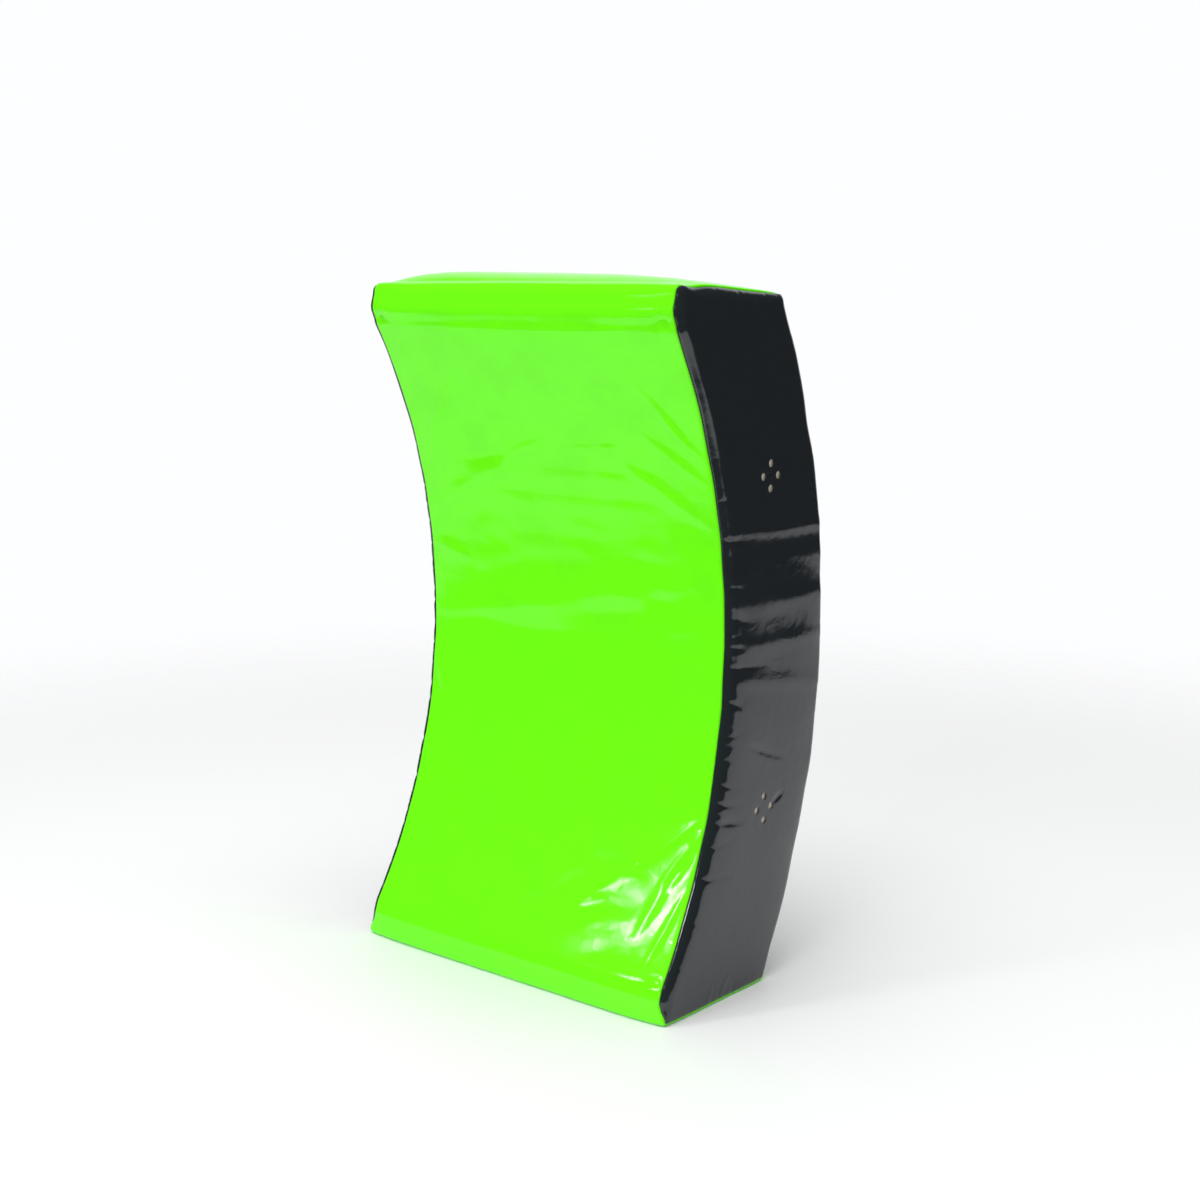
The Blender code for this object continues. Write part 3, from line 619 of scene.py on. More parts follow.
def belt_line(points):
    """The ring's middle line at the seam, in the YZ plane, and the distance to each of its points."""
    ring = belt(points)[-1][:, 1:]
    return ring, lengths_along(np.concatenate([ring, ring[:1]]))


class Fold:
    """A long shallow fold in a panel's flat coordinates: a ridge, or a valley where it is negative."""

    def __init__(self, start, end, width, height, from_seam=False):
        self.start, self.end = np.array(start, float), np.array(end, float)
        self.width, self.height, self.from_seam = width, height, from_seam

    def lift(self, flat):
        """How far it lifts the cloth at flat coordinates."""
        run = self.end - self.start
        length = np.linalg.norm(run)
        away = flat - self.start
        share = (away @ run) / length ** 2
        aside = (away[..., 1] * run[0] - away[..., 0] * run[1]) / length
        if self.from_seam:
            taper = np.clip(1 - np.maximum(share, 0), 0, 1) ** 1.6
            width = self.width * (0.5 + 0.5 * np.clip(share, 0, 1))
        else:
            taper = np.clip(1 - (2 * share - 1) ** 2, 0, 1)
            width = self.width * (0.35 + 0.65 * taper)
        return self.height * taper * bell(aside, width)


def gathers(line, inward, spacing, reach, width, depth, seed):
    """Short valleys that run in from a seam, as cloth does where its thread gathers it."""
    chance = np.random.default_rng(seed)
    along = lengths_along(line)
    folds = []
    place = spacing * chance.uniform(0.3, 1.0)
    while place < along[-1] - spacing / 3:
        start = np.array([np.interp(place, along, line[:, axis]) for axis in (0, 1)])
        tilt = chance.normal(0.0, 0.30)
        way = np.array((inward[0] * cos(tilt) - inward[1] * sin(tilt),
                        inward[0] * sin(tilt) + inward[1] * cos(tilt)))
        end = start + way * reach * chance.uniform(0.4, 1.7)
        folds.append(Fold(start, end, width * chance.uniform(0.7, 1.5),
                          -depth * chance.uniform(0.3, 1.6), from_seam=True))
        place += spacing * chance.uniform(0.5, 1.6)
    return folds


def soft_waves(flat, length, height, seed, count=14):
    """Uneven low waves, the sum of seeded sines in many directions."""
    chance = np.random.default_rng(seed)
    total = np.zeros(flat.shape[:-1])
    for _ in range(count):
        turn = chance.uniform(0, 2 * pi)
        number = 2 * pi / (length * chance.uniform(0.7, 1.6))
        total += np.sin(flat[..., 0] * number * cos(turn) + flat[..., 1] * number * sin(turn)
                        + chance.uniform(0, 2 * pi))
    return total * height / sqrt(count / 2)


def folded(flat, folds):
    """The lift of all the folds at a panel's flat coordinates."""
    total = np.zeros(flat.shape[:-1])
    for fold in folds:
        margin = 3 * fold.width
        low, high = np.minimum(fold.start, fold.end) - margin, np.maximum(fold.start, fold.end) + margin
        near = ((flat > low) & (flat < high)).all(-1)
        total[near] += fold.lift(flat[near])
    return total


# Folds of the front, across from its middle and along it from its lower end
FRONT_FOLDS = [
    Fold((-0.116, 0.690), (-0.200, 0.602), 0.0095, 0.0027),
    Fold((-0.135, 0.722), (-0.212, 0.650), 0.0080, 0.0008),
    Fold((-0.180, 0.738), (-0.200, 0.704), 0.0042, 0.0011),
    Fold((-0.016, 0.617), (-0.212, 0.521), 0.0135, 0.0030),
    Fold((-0.060, 0.566), (-0.212, 0.498), 0.0090, 0.0006),
    Fold((0.030, 0.6120), (0.066, 0.6145), 0.0035, 0.0005),
    Fold((0.070, 0.6150), (0.100, 0.6170), 0.0035, 0.0005),
    Fold((0.134, 0.702), (0.200, 0.612), 0.0068, 0.0013),
    Fold((0.130, 0.636), (0.206, 0.582), 0.0065, 0.0012),
    Fold((0.084, 0.608), (0.213, 0.531), 0.0078, 0.0013),
    Fold((0.150, 0.664), (0.212, 0.606), 0.0050, 0.0007),
    Fold((-0.214, 0.400), (0.214, 0.478), 0.0190, 0.0027),
    Fold((-0.140, 0.378), (0.120, 0.412), 0.0100, -0.0006),
    Fold((-0.213, 0.484), (-0.146, 0.470), 0.0100, 0.0013),
    Fold((0.140, 0.414), (0.2135, 0.434), 0.0085, 0.0012),
    Fold((-0.211, 0.372), (-0.184, 0.288), 0.0080, 0.0011),
    Fold((0.060, 0.360), (0.2135, 0.392), 0.0120, 0.0008),
    Fold((0.195, 0.393), (0.2135, 0.405), 0.0035, 0.0008),
    Fold((-0.020, 0.078), (0.212, 0.272), 0.0100, 0.0009),
    Fold((0.030, 0.062), (0.213, 0.230), 0.0080, 0.0008),
    Fold((-0.080, 0.110), (0.140, 0.286), 0.0120, 0.0007),
    Fold((0.145, 0.160), (0.213, 0.229), 0.0040, 0.0007),
    Fold((0.164, 0.086), (0.188, 0.168), 0.0065, 0.0011),
    Fold((0.178, 0.136), (0.2135, 0.196), 0.0055, -0.0011),
    Fold((0.174, 0.146), (0.206, 0.202), 0.0035, 0.0007),
    Fold((0.182, 0.044), (0.210, 0.152), 0.0040, 0.0010),
    Fold((0.202, 0.190), (0.2135, 0.214), 0.0035, 0.0009),
    Fold((0.186, 0.044), (0.209, 0.058), 0.0060, 0.0007),
    Fold((-0.213, 0.200), (-0.138, 0.136), 0.0090, 0.0009),
    Fold((-0.212, 0.164), (-0.146, 0.100), 0.0080, 0.0007),
    Fold((-0.150, 0.236), (0.060, 0.330), 0.0160, 0.0009),
    Fold((-0.110, 0.140), (0.040, 0.240), 0.0140, -0.0007),
    Fold((0.183, 0.757), (0.2145, 0.7665), 0.0060, -0.0022),
    Fold((0.187, 0.764), (0.206, 0.787), 0.0022, 0.0009),
    Fold((0.187, 0.762), (0.211, 0.748), 0.0022, 0.0009),
    Fold((-0.190, 0.757), (-0.2145, 0.7665), 0.0060, -0.0016),
    Fold((0.190, 0.052), (0.2145, 0.046), 0.0060, -0.0016),
    Fold((-0.190, 0.052), (-0.2145, 0.046), 0.0060, -0.0016),
]

# Folds of the sides, as their places back from the origin and up
SIDE_FOLDS = [
    Fold((-0.020, 0.5065), (0.270, 0.5003), 0.0085, 0.00105),
    Fold((0.115, 0.4730), (0.210, 0.4670), 0.0090, 0.00050),
    Fold((-0.100, 0.4289), (0.310, 0.4227), 0.0120, 0.00080),
    Fold((-0.100, 0.3838), (0.310, 0.3754), 0.0095, 0.00070),
    Fold((-0.100, 0.3669), (0.310, 0.3034), 0.0095, 0.00060),
    Fold((0.044, 0.2765), (0.120, 0.2470), 0.0046, -0.00100),
    Fold((0.0925, 0.2010), (0.119, 0.2115), 0.0038, -0.00110),
    Fold((-0.002, 0.2005), (0.046, 0.1905), 0.0042, -0.00090),
    Fold((0.100, 0.560), (0.178, 0.556), 0.0060, 0.00030),
    Fold((-0.060, 0.735), (-0.040, 0.700), 0.0040, 0.00050),
    Fold((-0.020, 0.752), (-0.010, 0.715), 0.0040, 0.00045),
    Fold((0.004, 0.753), (0.014, 0.722), 0.0035, 0.00045),
    Fold((0.060, 0.742), (0.064, 0.700), 0.0040, 0.00035),
    Fold((0.100, 0.712), (0.122, 0.680), 0.0040, 0.00055),
    Fold((0.002, 0.006), (0.022, 0.030), 0.0035, 0.00045),
    Fold((-0.020, 0.004), (-0.008, 0.026), 0.0035, 0.00040),
]

# The rolled seams: radii of the roll on a side and on the faces, how far the side rolls round, the
# stitched groove, the dip at a belt panel's ends, and how deep the edges turn in
SIDE_ROLL = 0.0125
FACE_ROLL = 0.0045
SEAM_TURN = radians(75)
FLOOR_TURN = radians(24)
GROOVE = 0.0012
GROOVE_WIDTH = 0.0011
HEM_DIP = 0.0012
HEM_WIDTH = 0.0016
TURN_IN = (0.0025, 0.0060)
CLOTH_THICKNESS = 0.0010


def seam_turn(heights, depths):
    """How far a side panel rolls round before its seam: nearly on to the faces, but not at the floor."""
    back_share = smooth_step(depths, -0.05, 0.05)
    return FLOOR_TURN + (SEAM_TURN - FLOOR_TURN) * smooth_step(heights, 0.004, 0.022 + 0.03 * back_share)


def rolled(left, reach, own, other, roll, turn):
    """A panel's points near a seam, laid on an arc. left is how far each has gone past its start."""
    angle = np.clip(left / reach, 0, 1)[..., None] * turn[..., None]
    return own * roll * (np.cos(angle) - 1) + other * (roll * np.sin(angle) - left[..., None])


def side_move(distance, own, other, turn):
    """How a side panel's point at a distance from the pad's outline moves."""
    reach = SIDE_ROLL * np.sin(turn) + FACE_ROLL * (1 - np.sin(turn))
    return rolled(np.maximum(reach - distance, 0), reach, own, other, SIDE_ROLL, turn)


def groove(distance, own, other, turn):
    """How a point near a seam is drawn in by its stitches. turn is its panel's."""
    way = own * np.cos(turn)[..., None] + other * np.sin(turn)[..., None]
    return -way * (GROOVE * bell(distance, GROOVE_WIDTH))[..., None]


def finish_sheet(grid, border_inward):
    """A fine grid's points and faces, with its edges turned in."""
    rows, columns = grid.shape[:2]
    ring = border_ring(rows, columns)
    points = [grid.reshape(-1, 3)]
    ring_places = grid.reshape(-1, 3)[ring]
    inward = border_inward.reshape(-1, 3)[ring]
    faces = [quads(np.arange(rows * columns).reshape(rows, columns))]
    last = ring
    total = rows * columns
    for depth in TURN_IN:
        points.append(ring_places + inward * depth)
        following = total + np.arange(len(ring))
        faces.append(np.stack([last, following, np.roll(following, -1), np.roll(last, -1)], -1))
        last = following
        total += len(ring)
    return points, faces, last, total


def border_ring(rows, columns):
    """The border points of a grid in order round it, turning the way its faces do."""
    numbers = np.arange(rows * columns).reshape(rows, columns)
    return np.concatenate([numbers[:-1, 0], numbers[-1, :-1], numbers[:0:-1, -1], numbers[0, :0:-1]])


def join_rings(fine, fine_places, rough, rough_places):
    """Triangles between two rings of unlike counts that start side by side."""
    fine_share = lengths_along(np.concatenate([fine_places, fine_places[:1]]))
    rough_share = lengths_along(np.concatenate([rough_places, rough_places[:1]]))
    fine_share, rough_share = fine_share / fine_share[-1], rough_share / rough_share[-1]
    triangles, i, j = [], 0, 0
    while i < len(fine) or j < len(rough):
        a, b = fine[i % len(fine)], rough[j % len(rough)]
        if j >= len(rough) or (i < len(fine) and fine_share[i + 1] <= rough_share[j + 1]):
            triangles.append((a, b, fine[(i + 1) % len(fine)]))
            i += 1
        else:
            triangles.append((a, b, rough[(j + 1) % len(rough)]))
            j += 1
    return triangles


def cloth_panel(name, grid, normals, inward, uv, material):
    """One panel of the cover as a closed thin body, with its edges turned in at the seams."""
    rows, columns = grid.shape[:2]
    points, faces, last, total = finish_sheet(grid, inward)
    pick_rows = np.unique(np.linspace(2, rows - 3, max(3, rows // 10)).astype(int))
    pick_columns = np.unique(np.linspace(2, columns - 3, max(3, columns // 10)).astype(int))
    under = np.ix_(pick_rows, pick_columns)
    inner = (grid - normals * CLOTH_THICKNESS)[under]
    inner_numbers = total + np.arange(inner.shape[0] * inner.shape[1]).reshape(inner.shape[:2])
    inner_ring = border_ring(*inner.shape[:2])
    all_points = np.concatenate(points + [inner.reshape(-1, 3)])
    joined = join_rings(last, all_points[last], total + inner_ring, all_points[total + inner_ring])
    all_faces = np.concatenate(faces).tolist() + quads(inner_numbers)[:, ::-1].tolist() + joined
    full_uv = np.zeros((len(all_points), 2))
    full_uv[:rows * columns] = uv.reshape(-1, 2)
    full_uv[rows * columns:total] = np.tile(uv.reshape(-1, 2)[border_ring(rows, columns)], (2, 1))
    full_uv[total:] = uv[under].reshape(-1, 2)
    return new_body(name, all_points, all_faces, material, full_uv)


# Spacing of a panel's points: in its middle, at its edges, and the width over which it changes. Across
# a belt panel these are shares of its width
BELT_SPACING = (0.0024, 0.0010, 0.010)
ACROSS_SPACING = (0.0054, 0.0021, 0.027)
SIDE_SPACING = (0.0018, 0.0009, 0.012)
RISE_SPACING = (0.0020, 0.0010, 0.012)


def belt_panel(name, start, end, material, form, folds):
    """A panel round the belt between two places of the ring, from side seam to side seam."""
    line, along = belt_line(PAD["sewn"])
    places = np.arange(BELT_COUNT * 2 + 1) - BELT_COUNT
    distance = np.concatenate([along[:-1] - along[-1], along])
    low, high = np.interp([start, end], places, distance)
    down = graded(high - low, *BELT_SPACING) + low
    ring_weights = cubic_weights(np.interp(down, distance, places), BELT_COUNT, closed=True)
    outline = ring_weights @ line
    turn = seam_turn(outline[:, 1], outline[:, 0])
    inset = SIDE_ROLL * (1 - np.cos(turn))
    over = graded(1.0, *ACROSS_SPACING)
    lattice = np.einsum("bj,ijc->bic", ring_weights, belt(PAD["settled"]))
    share = (inset + over[:, None] * (form.width - 2 * inset)) / form.width
    grid = np.stack([cubic_weights(share[:, place] * ACROSS, ACROSS + 1) @ lattice[place]
                     for place in range(len(down))], 1)
    flat = paired((share - 0.5) * form.width, down[None, :] - along[FRONT_START])
    own = np.zeros((1, len(down), 3))
    own[0, :, 1:] = square_to(np.gradient(outline, axis=0))
    lift = soft_waves(flat, 0.090, 0.00012, 11) + soft_waves(flat, 0.030, 0.00003, 12)
    grid = grid + own * (folded(flat, folds) + lift)[..., None]
    inward = np.zeros_like(grid)
    own = own * np.ones((len(over), 1, 1))
    own_turn = np.broadcast_to(pi / 2 - turn, grid.shape[:2])
    reach = np.maximum(FACE_ROLL * np.sin(own_turn), 1e-5)
    for index, way in ((0, -1), (-1, 1)):
        other = np.array((way, 0.0, 0.0)) * np.ones_like(own)
        away = (over if way < 0 else 1 - over)[:, None] * (form.width - 2 * inset)
        grid += rolled(np.maximum(reach - away, 0), reach, own, other, FACE_ROLL, own_turn)
        grid += groove(away, own, other, own_turn)
        inward[index] = -(own * np.cos(own_turn)[..., None] + other * np.sin(own_turn)[..., None])[index]
    own = own[:1]
    for index, away in ((0, down - low), (-1, high - down)):
        grid -= own * (HEM_DIP * bell(away, HEM_WIDTH))[None, :, None]
        inward[1:-1, index] = -own[0, index]
    grid[..., 2] = np.maximum(grid[..., 2], FLOOR_LEVEL)
    PAD[name] = grid, grid_normals(grid)
    return cloth_panel(name, grid, grid_normals(grid), inward, flat, material)


def side_panel(name, side, material, form):
    """A side panel: its own grid through and up the pad, inside the seams all round it."""
    index = -1 if side > 0 else 0
    sewn, settled = PAD["sewn"][index], PAD["settled"][index]
    depth = graded(form.end_depth, *SIDE_SPACING) / form.end_depth * DEEP
    front = lengths_along(sewn[0][:, 1:])
    rise = np.interp(graded(front[-1], *RISE_SPACING), front, np.arange(ROWS + 1))
    weights = cubic_weights(depth, DEEP + 1), cubic_weights(rise, ROWS + 1)
    grid = np.einsum("ai,bj,ijc->abc", *weights, settled, optimize=True)
    flat = np.einsum("ai,bj,ijc->abc", *weights, sewn, optimize=True)
    distance, way_out = outline_distance(flat)
    own = np.zeros_like(grid)
    own[..., 0] = side
    uv = flat[..., 1:]
    lift = folded(uv, side_folds(sewn, side)) + vent_dimples(uv)
    lift += soft_waves(uv, 0.060, 0.00005, 21 + side) + soft_waves(uv, 0.022, 0.00002, 25)
    grid = grid + own * (lift * smooth_step(distance, 0.0, 0.002))[..., None]
    turn = seam_turn(flat[..., 2], flat[..., 1])
    grid = grid + side_move(distance, own, way_out, turn) + groove(distance, own, way_out, turn)
    inward = -(own * np.cos(turn)[..., None] + way_out * np.sin(turn)[..., None])
    if side < 0:
        grid, inward, uv = grid[::-1], inward[::-1], uv[::-1]
    grid[..., 2] = np.maximum(grid[..., 2], FLOOR_LEVEL)
    PAD[name] = grid, -inward
    panel = cloth_panel(name, grid, grid_normals(grid), inward, uv, material)
    punch_vents(panel, side)
    return panel


# The middle of each group of four vents, as its place back and up
VENT_GROUPS = ((0.0795, 0.1992), (0.0832, 0.5608))
VENT_SPREAD = 0.0133
VENT_RADIUS = 0.00425
DIMPLE = 0.0003
DIMPLE_WIDTH = 0.0062
PUNCH_PLACE = 0.224
PUNCH_LENGTH = 0.030


def vent_places():
    """The middles of the vents: four in a diamond round each group's middle."""
    return [(y + VENT_SPREAD * cos(turn), z + VENT_SPREAD * sin(turn))
            for y, z in VENT_GROUPS for turn in (0.0, pi / 2, pi, 3 * pi / 2)]


def vent_dimples(flat):
    """How the cloth dips round each punched vent."""
    total = np.zeros(flat.shape[:-1])
    for place in vent_places():
        away = np.linalg.norm(flat - np.array(place), axis=-1)
        total -= DIMPLE * bell(away, DIMPLE_WIDTH)
    return total


def punch_vents(panel, side):
    """Punch the round vents through a side panel."""
    punches = bmesh.new()
    for y, z in vent_places():
        place = Matrix.Translation((side * PUNCH_PLACE, y, z)) @ Matrix.Rotation(pi / 2, 4, "Y")
        bmesh.ops.create_cone(punches, cap_ends=True, segments=36, radius1=VENT_RADIUS,
                              radius2=VENT_RADIUS, depth=PUNCH_LENGTH, matrix=place)
    mesh = bpy.data.meshes.new("punches")
    punches.to_mesh(mesh)
    punches.free()
    cutter = new_thing("punches", mesh)
    modifier = panel.modifiers.new("vents", "BOOLEAN")
    modifier.operation, modifier.solver, modifier.object = "DIFFERENCE", "EXACT", cutter
    plain_mesh(panel)
    bpy.data.objects.remove(cutter)
    panel.data.set_sharp_from_angle(angle=radians(48))


def plain_mesh(thing):
    """Turn an object with modifiers into a plain mesh, with none left on it."""
    evaluated = thing.evaluated_get(bpy.context.evaluated_depsgraph_get())
    mesh = bpy.data.meshes.new_from_object(evaluated)
    mesh.name = thing.name
    thing.modifiers.clear()
    thing.data = mesh


def side_folds(sewn, side):
    """The side's own folds, and the gathers along its four seams."""
    front, back = sewn[0, :, 1:], sewn[-1, :, 1:]
    folds = list(SIDE_FOLDS)
    # Each row of gathers: its seam, the way in from it, spacing, reach, width, depth and seed
    middle = slice(CORNER_ROWS + 8, ROWS - CORNER_ROWS - 30)
    folds += gathers(front[middle], (1, 0), 0.021, 0.022, 0.0032, 0.0009, 31 + side)
    folds += gathers(front[ROWS // 5:ROWS * 3 // 5], (1, 0), 0.030, 0.050, 0.0050, 0.0010, 35 + side)
    folds += gathers(back[4:-4], (-1, 0), 0.034, 0.016, 0.0035, 0.0005, 41)
    folds += gathers(sewn[:, 0, 1:], (0, 1), 0.024, 0.018, 0.0030, 0.0006, 43)
    folds += gathers(sewn[:, -1, 1:], (0, -1), 0.024, 0.018, 0.0030, 0.0006, 44)
    return folds


def front_folds(form):
    """The front's own folds, and the gathers along its side seams."""
    length = belt_line(PAD["sewn"])[1][TOP_START] - belt_line(PAD["sewn"])[1][FRONT_START]
    rise = np.linspace(0.0, length, 60)
    folds = list(FRONT_FOLDS)
    for side in (-1, 1):
        seam = np.stack([np.full(60, side * form.width / 2), rise], 1)
        folds += gathers(seam, (-side, 0), 0.027, 0.015, 0.0032, 0.00055, 51 + side)
    return folds


def outline_distance(points):
    """How far each point of a side is from the pad's outline, and the way out there."""
    places = np.linspace(0, BELT_COUNT, 4000, endpoint=False)
    fine = cubic_weights(places, BELT_COUNT, closed=True) @ belt_line(PAD["sewn"])[0]
    out = ring_out(fine)
    tree = KDTree(len(fine))
    for number, (y, z) in enumerate(fine):
        tree.insert((0.0, y, z), number)
    tree.balance()
    distance = np.empty(points.shape[:2])
    way = np.zeros(points.shape)
    for place in np.ndindex(*points.shape[:2]):
        number = tree.find((0.0, points[place][1], points[place][2]))[1]
        distance[place] = max((fine[number] - points[place][1:]) @ out[number], 0.0)
        way[place][1:] = out[number]
    return distance, way


def add_node(tree, kind, inputs=None, **settings):
    """A node with its settings, its unlinked values and its incoming links."""
    node = tree.nodes.new(kind)
    for label, value in settings.items():
        setattr(node, label, value)
    for label, value in (inputs or {}).items():
        if isinstance(value, bpy.types.NodeSocket):
            tree.links.new(value, node.inputs[label])
        else:
            node.inputs[label].default_value = value
    return node


def new_material(name, on_cloth=False):
    """A node material with its tree, its shader, and where its pattern lies: on the cloth or in space."""
    material = bpy.data.materials.new(name)
    material.use_nodes = True
    tree = material.node_tree
    if on_cloth:
        place = add_node(tree, "ShaderNodeUVMap", uv_map="cloth").outputs["UV"]
    else:
        place = add_node(tree, "ShaderNodeTexCoord").outputs["Object"]
    return material, tree, tree.nodes["Principled BSDF"], place


def built_once(build):
    """Make a function give back the node group of its own name, built at the first call."""
    return lambda: bpy.data.node_groups.get(build.__name__) or build(build.__name__)


def node_group(kind, name, inputs, outputs):
    """An empty node group with named inputs and outputs of given kinds, and its two end nodes."""
    tree = bpy.data.node_groups.new(name, kind)
    for way, sockets in (("INPUT", inputs), ("OUTPUT", outputs)):
        for label, socket in sockets.items():
            tree.interface.new_socket(label, in_out=way, socket_type="NodeSocket" + socket)
    return tree, tree.nodes.new("NodeGroupInput"), tree.nodes.new("NodeGroupOutput")


def math(tree, operation, first, second=0.0, third=0.0, clamp=False):
    """The result of one Math node."""
    node = add_node(tree, "ShaderNodeMath", {0: first, 1: second, 2: third}, operation=operation,
                    use_clamp=clamp)
    return node.outputs["Value"]


@built_once
def plain_weave(name):
    """Shader group: threads that pass over and under each other, as a height and a mask."""
    tree, entry, leave = node_group("ShaderNodeTree", name, {"Place": "Vector", "Thread pitch": "Float"},
                                    {"Height": "Float", "Over": "Float"})
    parts = add_node(tree, "ShaderNodeSeparateXYZ", {"Vector": entry.outputs["Place"]})
    waves = []
    for axis in ("X", "Y"):
        share = math(tree, "DIVIDE", parts.outputs[axis], entry.outputs["Thread pitch"])
        waves.append(math(tree, "SINE", math(tree, "MULTIPLY", share, pi)))
    crossing = math(tree, "MULTIPLY", *waves)
    tree.links.new(math(tree, "ABSOLUTE", crossing), leave.inputs["Height"])
    tree.links.new(math(tree, "MULTIPLY_ADD", crossing, 0.5, 0.5), leave.inputs["Over"])
    return tree


@built_once
def soft_creases(name):
    """Shader group: the fine uneven creases of handled cloth, as a height from 0 to 1."""
    tree, entry, leave = node_group("ShaderNodeTree", name, {"Place": "Vector", "Crease size": "Float"},
                                    {"Height": "Float"})
    scale = math(tree, "DIVIDE", 1.0, entry.outputs["Crease size"])
    noise = add_node(tree, "ShaderNodeTexNoise", {"Vector": entry.outputs["Place"], "Scale": scale,
                                                  "Detail": 3.0, "Roughness": 0.55, "Distortion": 0.7})
    ridge = math(tree, "ABSOLUTE", math(tree, "MULTIPLY_ADD", noise.outputs["Fac"], 2.0, -1.0))
    ridge = math(tree, "SUBTRACT", 1.0, ridge, clamp=True)
    tree.links.new(math(tree, "POWER", ridge, 4.0), leave.inputs["Height"])
    return tree


@built_once
def handling_marks(name):
    """Shader group: where hands, floors and folding have dulled the surface, as a mask."""
    tree, entry, leave = node_group("ShaderNodeTree", name, {"Place": "Vector", "Patch size": "Float"},
                                    {"Mask": "Float"})
    scale = math(tree, "DIVIDE", 1.0, entry.outputs["Patch size"])
    patches = add_node(tree, "ShaderNodeTexNoise", {"Vector": entry.outputs["Place"], "Scale": scale,
                                                    "Detail": 2.0, "Roughness": 0.6})
    fine = add_node(tree, "ShaderNodeTexNoise", {
        "Vector": entry.outputs["Place"], "Scale": math(tree, "MULTIPLY", scale, 26.0),
        "Detail": 3.0, "Roughness": 0.7, "Distortion": 1.5})
    soft = add_node(tree, "ShaderNodeMapRange", {"Value": patches.outputs["Fac"], "From Min": 0.42,
                                                 "From Max": 0.68}, interpolation_type="SMOOTHSTEP")
    specks = add_node(tree, "ShaderNodeMapRange", {"Value": fine.outputs["Fac"], "From Min": 0.55,
                                                   "From Max": 0.75}, interpolation_type="SMOOTHSTEP")
    both = math(tree, "MULTIPLY_ADD", specks.outputs["Result"], 0.45,
                math(tree, "MULTIPLY", soft.outputs["Result"], 0.55))
    tree.links.new(both, leave.inputs["Mask"])
    return tree


def placed_group(tree, group, values):
    """A shader group placed in a material with its own values."""
    return add_node(tree, "ShaderNodeGroup", values, node_tree=group)


def finish_surface(tree, shader, mask, colors, roughness, height):
    """Feed a shader a colour and a roughness by a mask, and its normal from a height in metres."""
    tint = add_node(tree, "ShaderNodeMix", {0: mask, 6: (*colors[0], 1.0), 7: (*colors[1], 1.0)},
                    data_type="RGBA")
    tree.links.new(tint.outputs[2], shader.inputs["Base Color"])
    gloss = add_node(tree, "ShaderNodeMapRange", {"Value": mask, "To Min": roughness[0],
                                                  "To Max": roughness[1]})
    tree.links.new(gloss.outputs["Result"], shader.inputs["Roughness"])
    bump = add_node(tree, "ShaderNodeBump", {"Height": height, "Distance": 1.0, "Strength": 1.0})
    tree.links.new(bump.outputs["Normal"], shader.inputs["Normal"])


def shaded(color, share):
    return tuple(channel * share for channel in color)


def coated_cloth(name, color, roughness, specular=0.5):
    """Vinyl-coated cloth: its scrim shows faintly, and handling has dulled and creased it."""
    material, tree, shader, place = new_material(name, on_cloth=True)
    shader.inputs["Specular IOR Level"].default_value = specular
    weave = placed_group(tree, plain_weave(), {"Place": place, "Thread pitch": 0.0011})
    creases = placed_group(tree, soft_creases(), {"Place": place, "Crease size": 0.030})
    marks = placed_group(tree, handling_marks(), {"Place": place, "Patch size": 0.075})
    height = math(tree, "MULTIPLY_ADD", creases.outputs["Height"], 0.00006,
                  math(tree, "MULTIPLY", weave.outputs["Height"], 0.000008))
    finish_surface(tree, shader, marks.outputs["Mask"], (color, shaded(color, 0.93)),
                   (roughness - 0.02, roughness + 0.09), height)
    return material


def cream_foam():
    """Open foam: small torn cells, with painted shade in their hollows and darker marks of handling."""
    material, tree, shader, place = new_material("cream_foam")
    cells = add_node(tree, "ShaderNodeTexVoronoi", {"Vector": place, "Scale": 900.0})
    marks = placed_group(tree, handling_marks(), {"Place": place, "Patch size": 0.02})
    # The mask mixes painted shade in the cells' hollows with real handling marks
    pit_shade_and_dirt = math(tree, "MULTIPLY_ADD", marks.outputs["Mask"], 0.3, cells.outputs["Distance"], clamp=True)
    finish_surface(tree, shader, pit_shade_and_dirt, ((0.83, 0.78, 0.66), (0.66, 0.60, 0.47)), (0.88, 0.96),
                   math(tree, "MULTIPLY", cells.outputs["Distance"], -0.0004))
    return material


def woven_strap(name, color, pitch, stretch, relief):
    """Webbing and tape: ribs of thick threads, a little fluffed by use, with a painted sheen on the
    threads that lie over at every other crossing.
    """
    material, tree, shader, place = new_material(name, on_cloth=True)
    ribs = add_node(tree, "ShaderNodeVectorMath", {0: place, 1: (1.0, stretch, 1.0)}, operation="MULTIPLY")
    weave = placed_group(tree, plain_weave(), {"Place": ribs.outputs["Vector"], "Thread pitch": pitch})
    marks = placed_group(tree, handling_marks(), {"Place": place, "Patch size": 0.030})
    # The mask mixes real wear from handling with a painted sheen on the weave's over-lying threads
    wear_and_weave_sheen = math(tree, "MULTIPLY_ADD", marks.outputs["Mask"], 0.5,
                math(tree, "MULTIPLY", weave.outputs["Over"], 0.5), clamp=True)
    finish_surface(tree, shader, wear_and_weave_sheen, (color, shaded(color, 2.0)), (0.62, 0.82),
                   math(tree, "MULTIPLY", weave.outputs["Height"], relief))
    shader.inputs["Sheen Weight"].default_value = 0.25
    return material


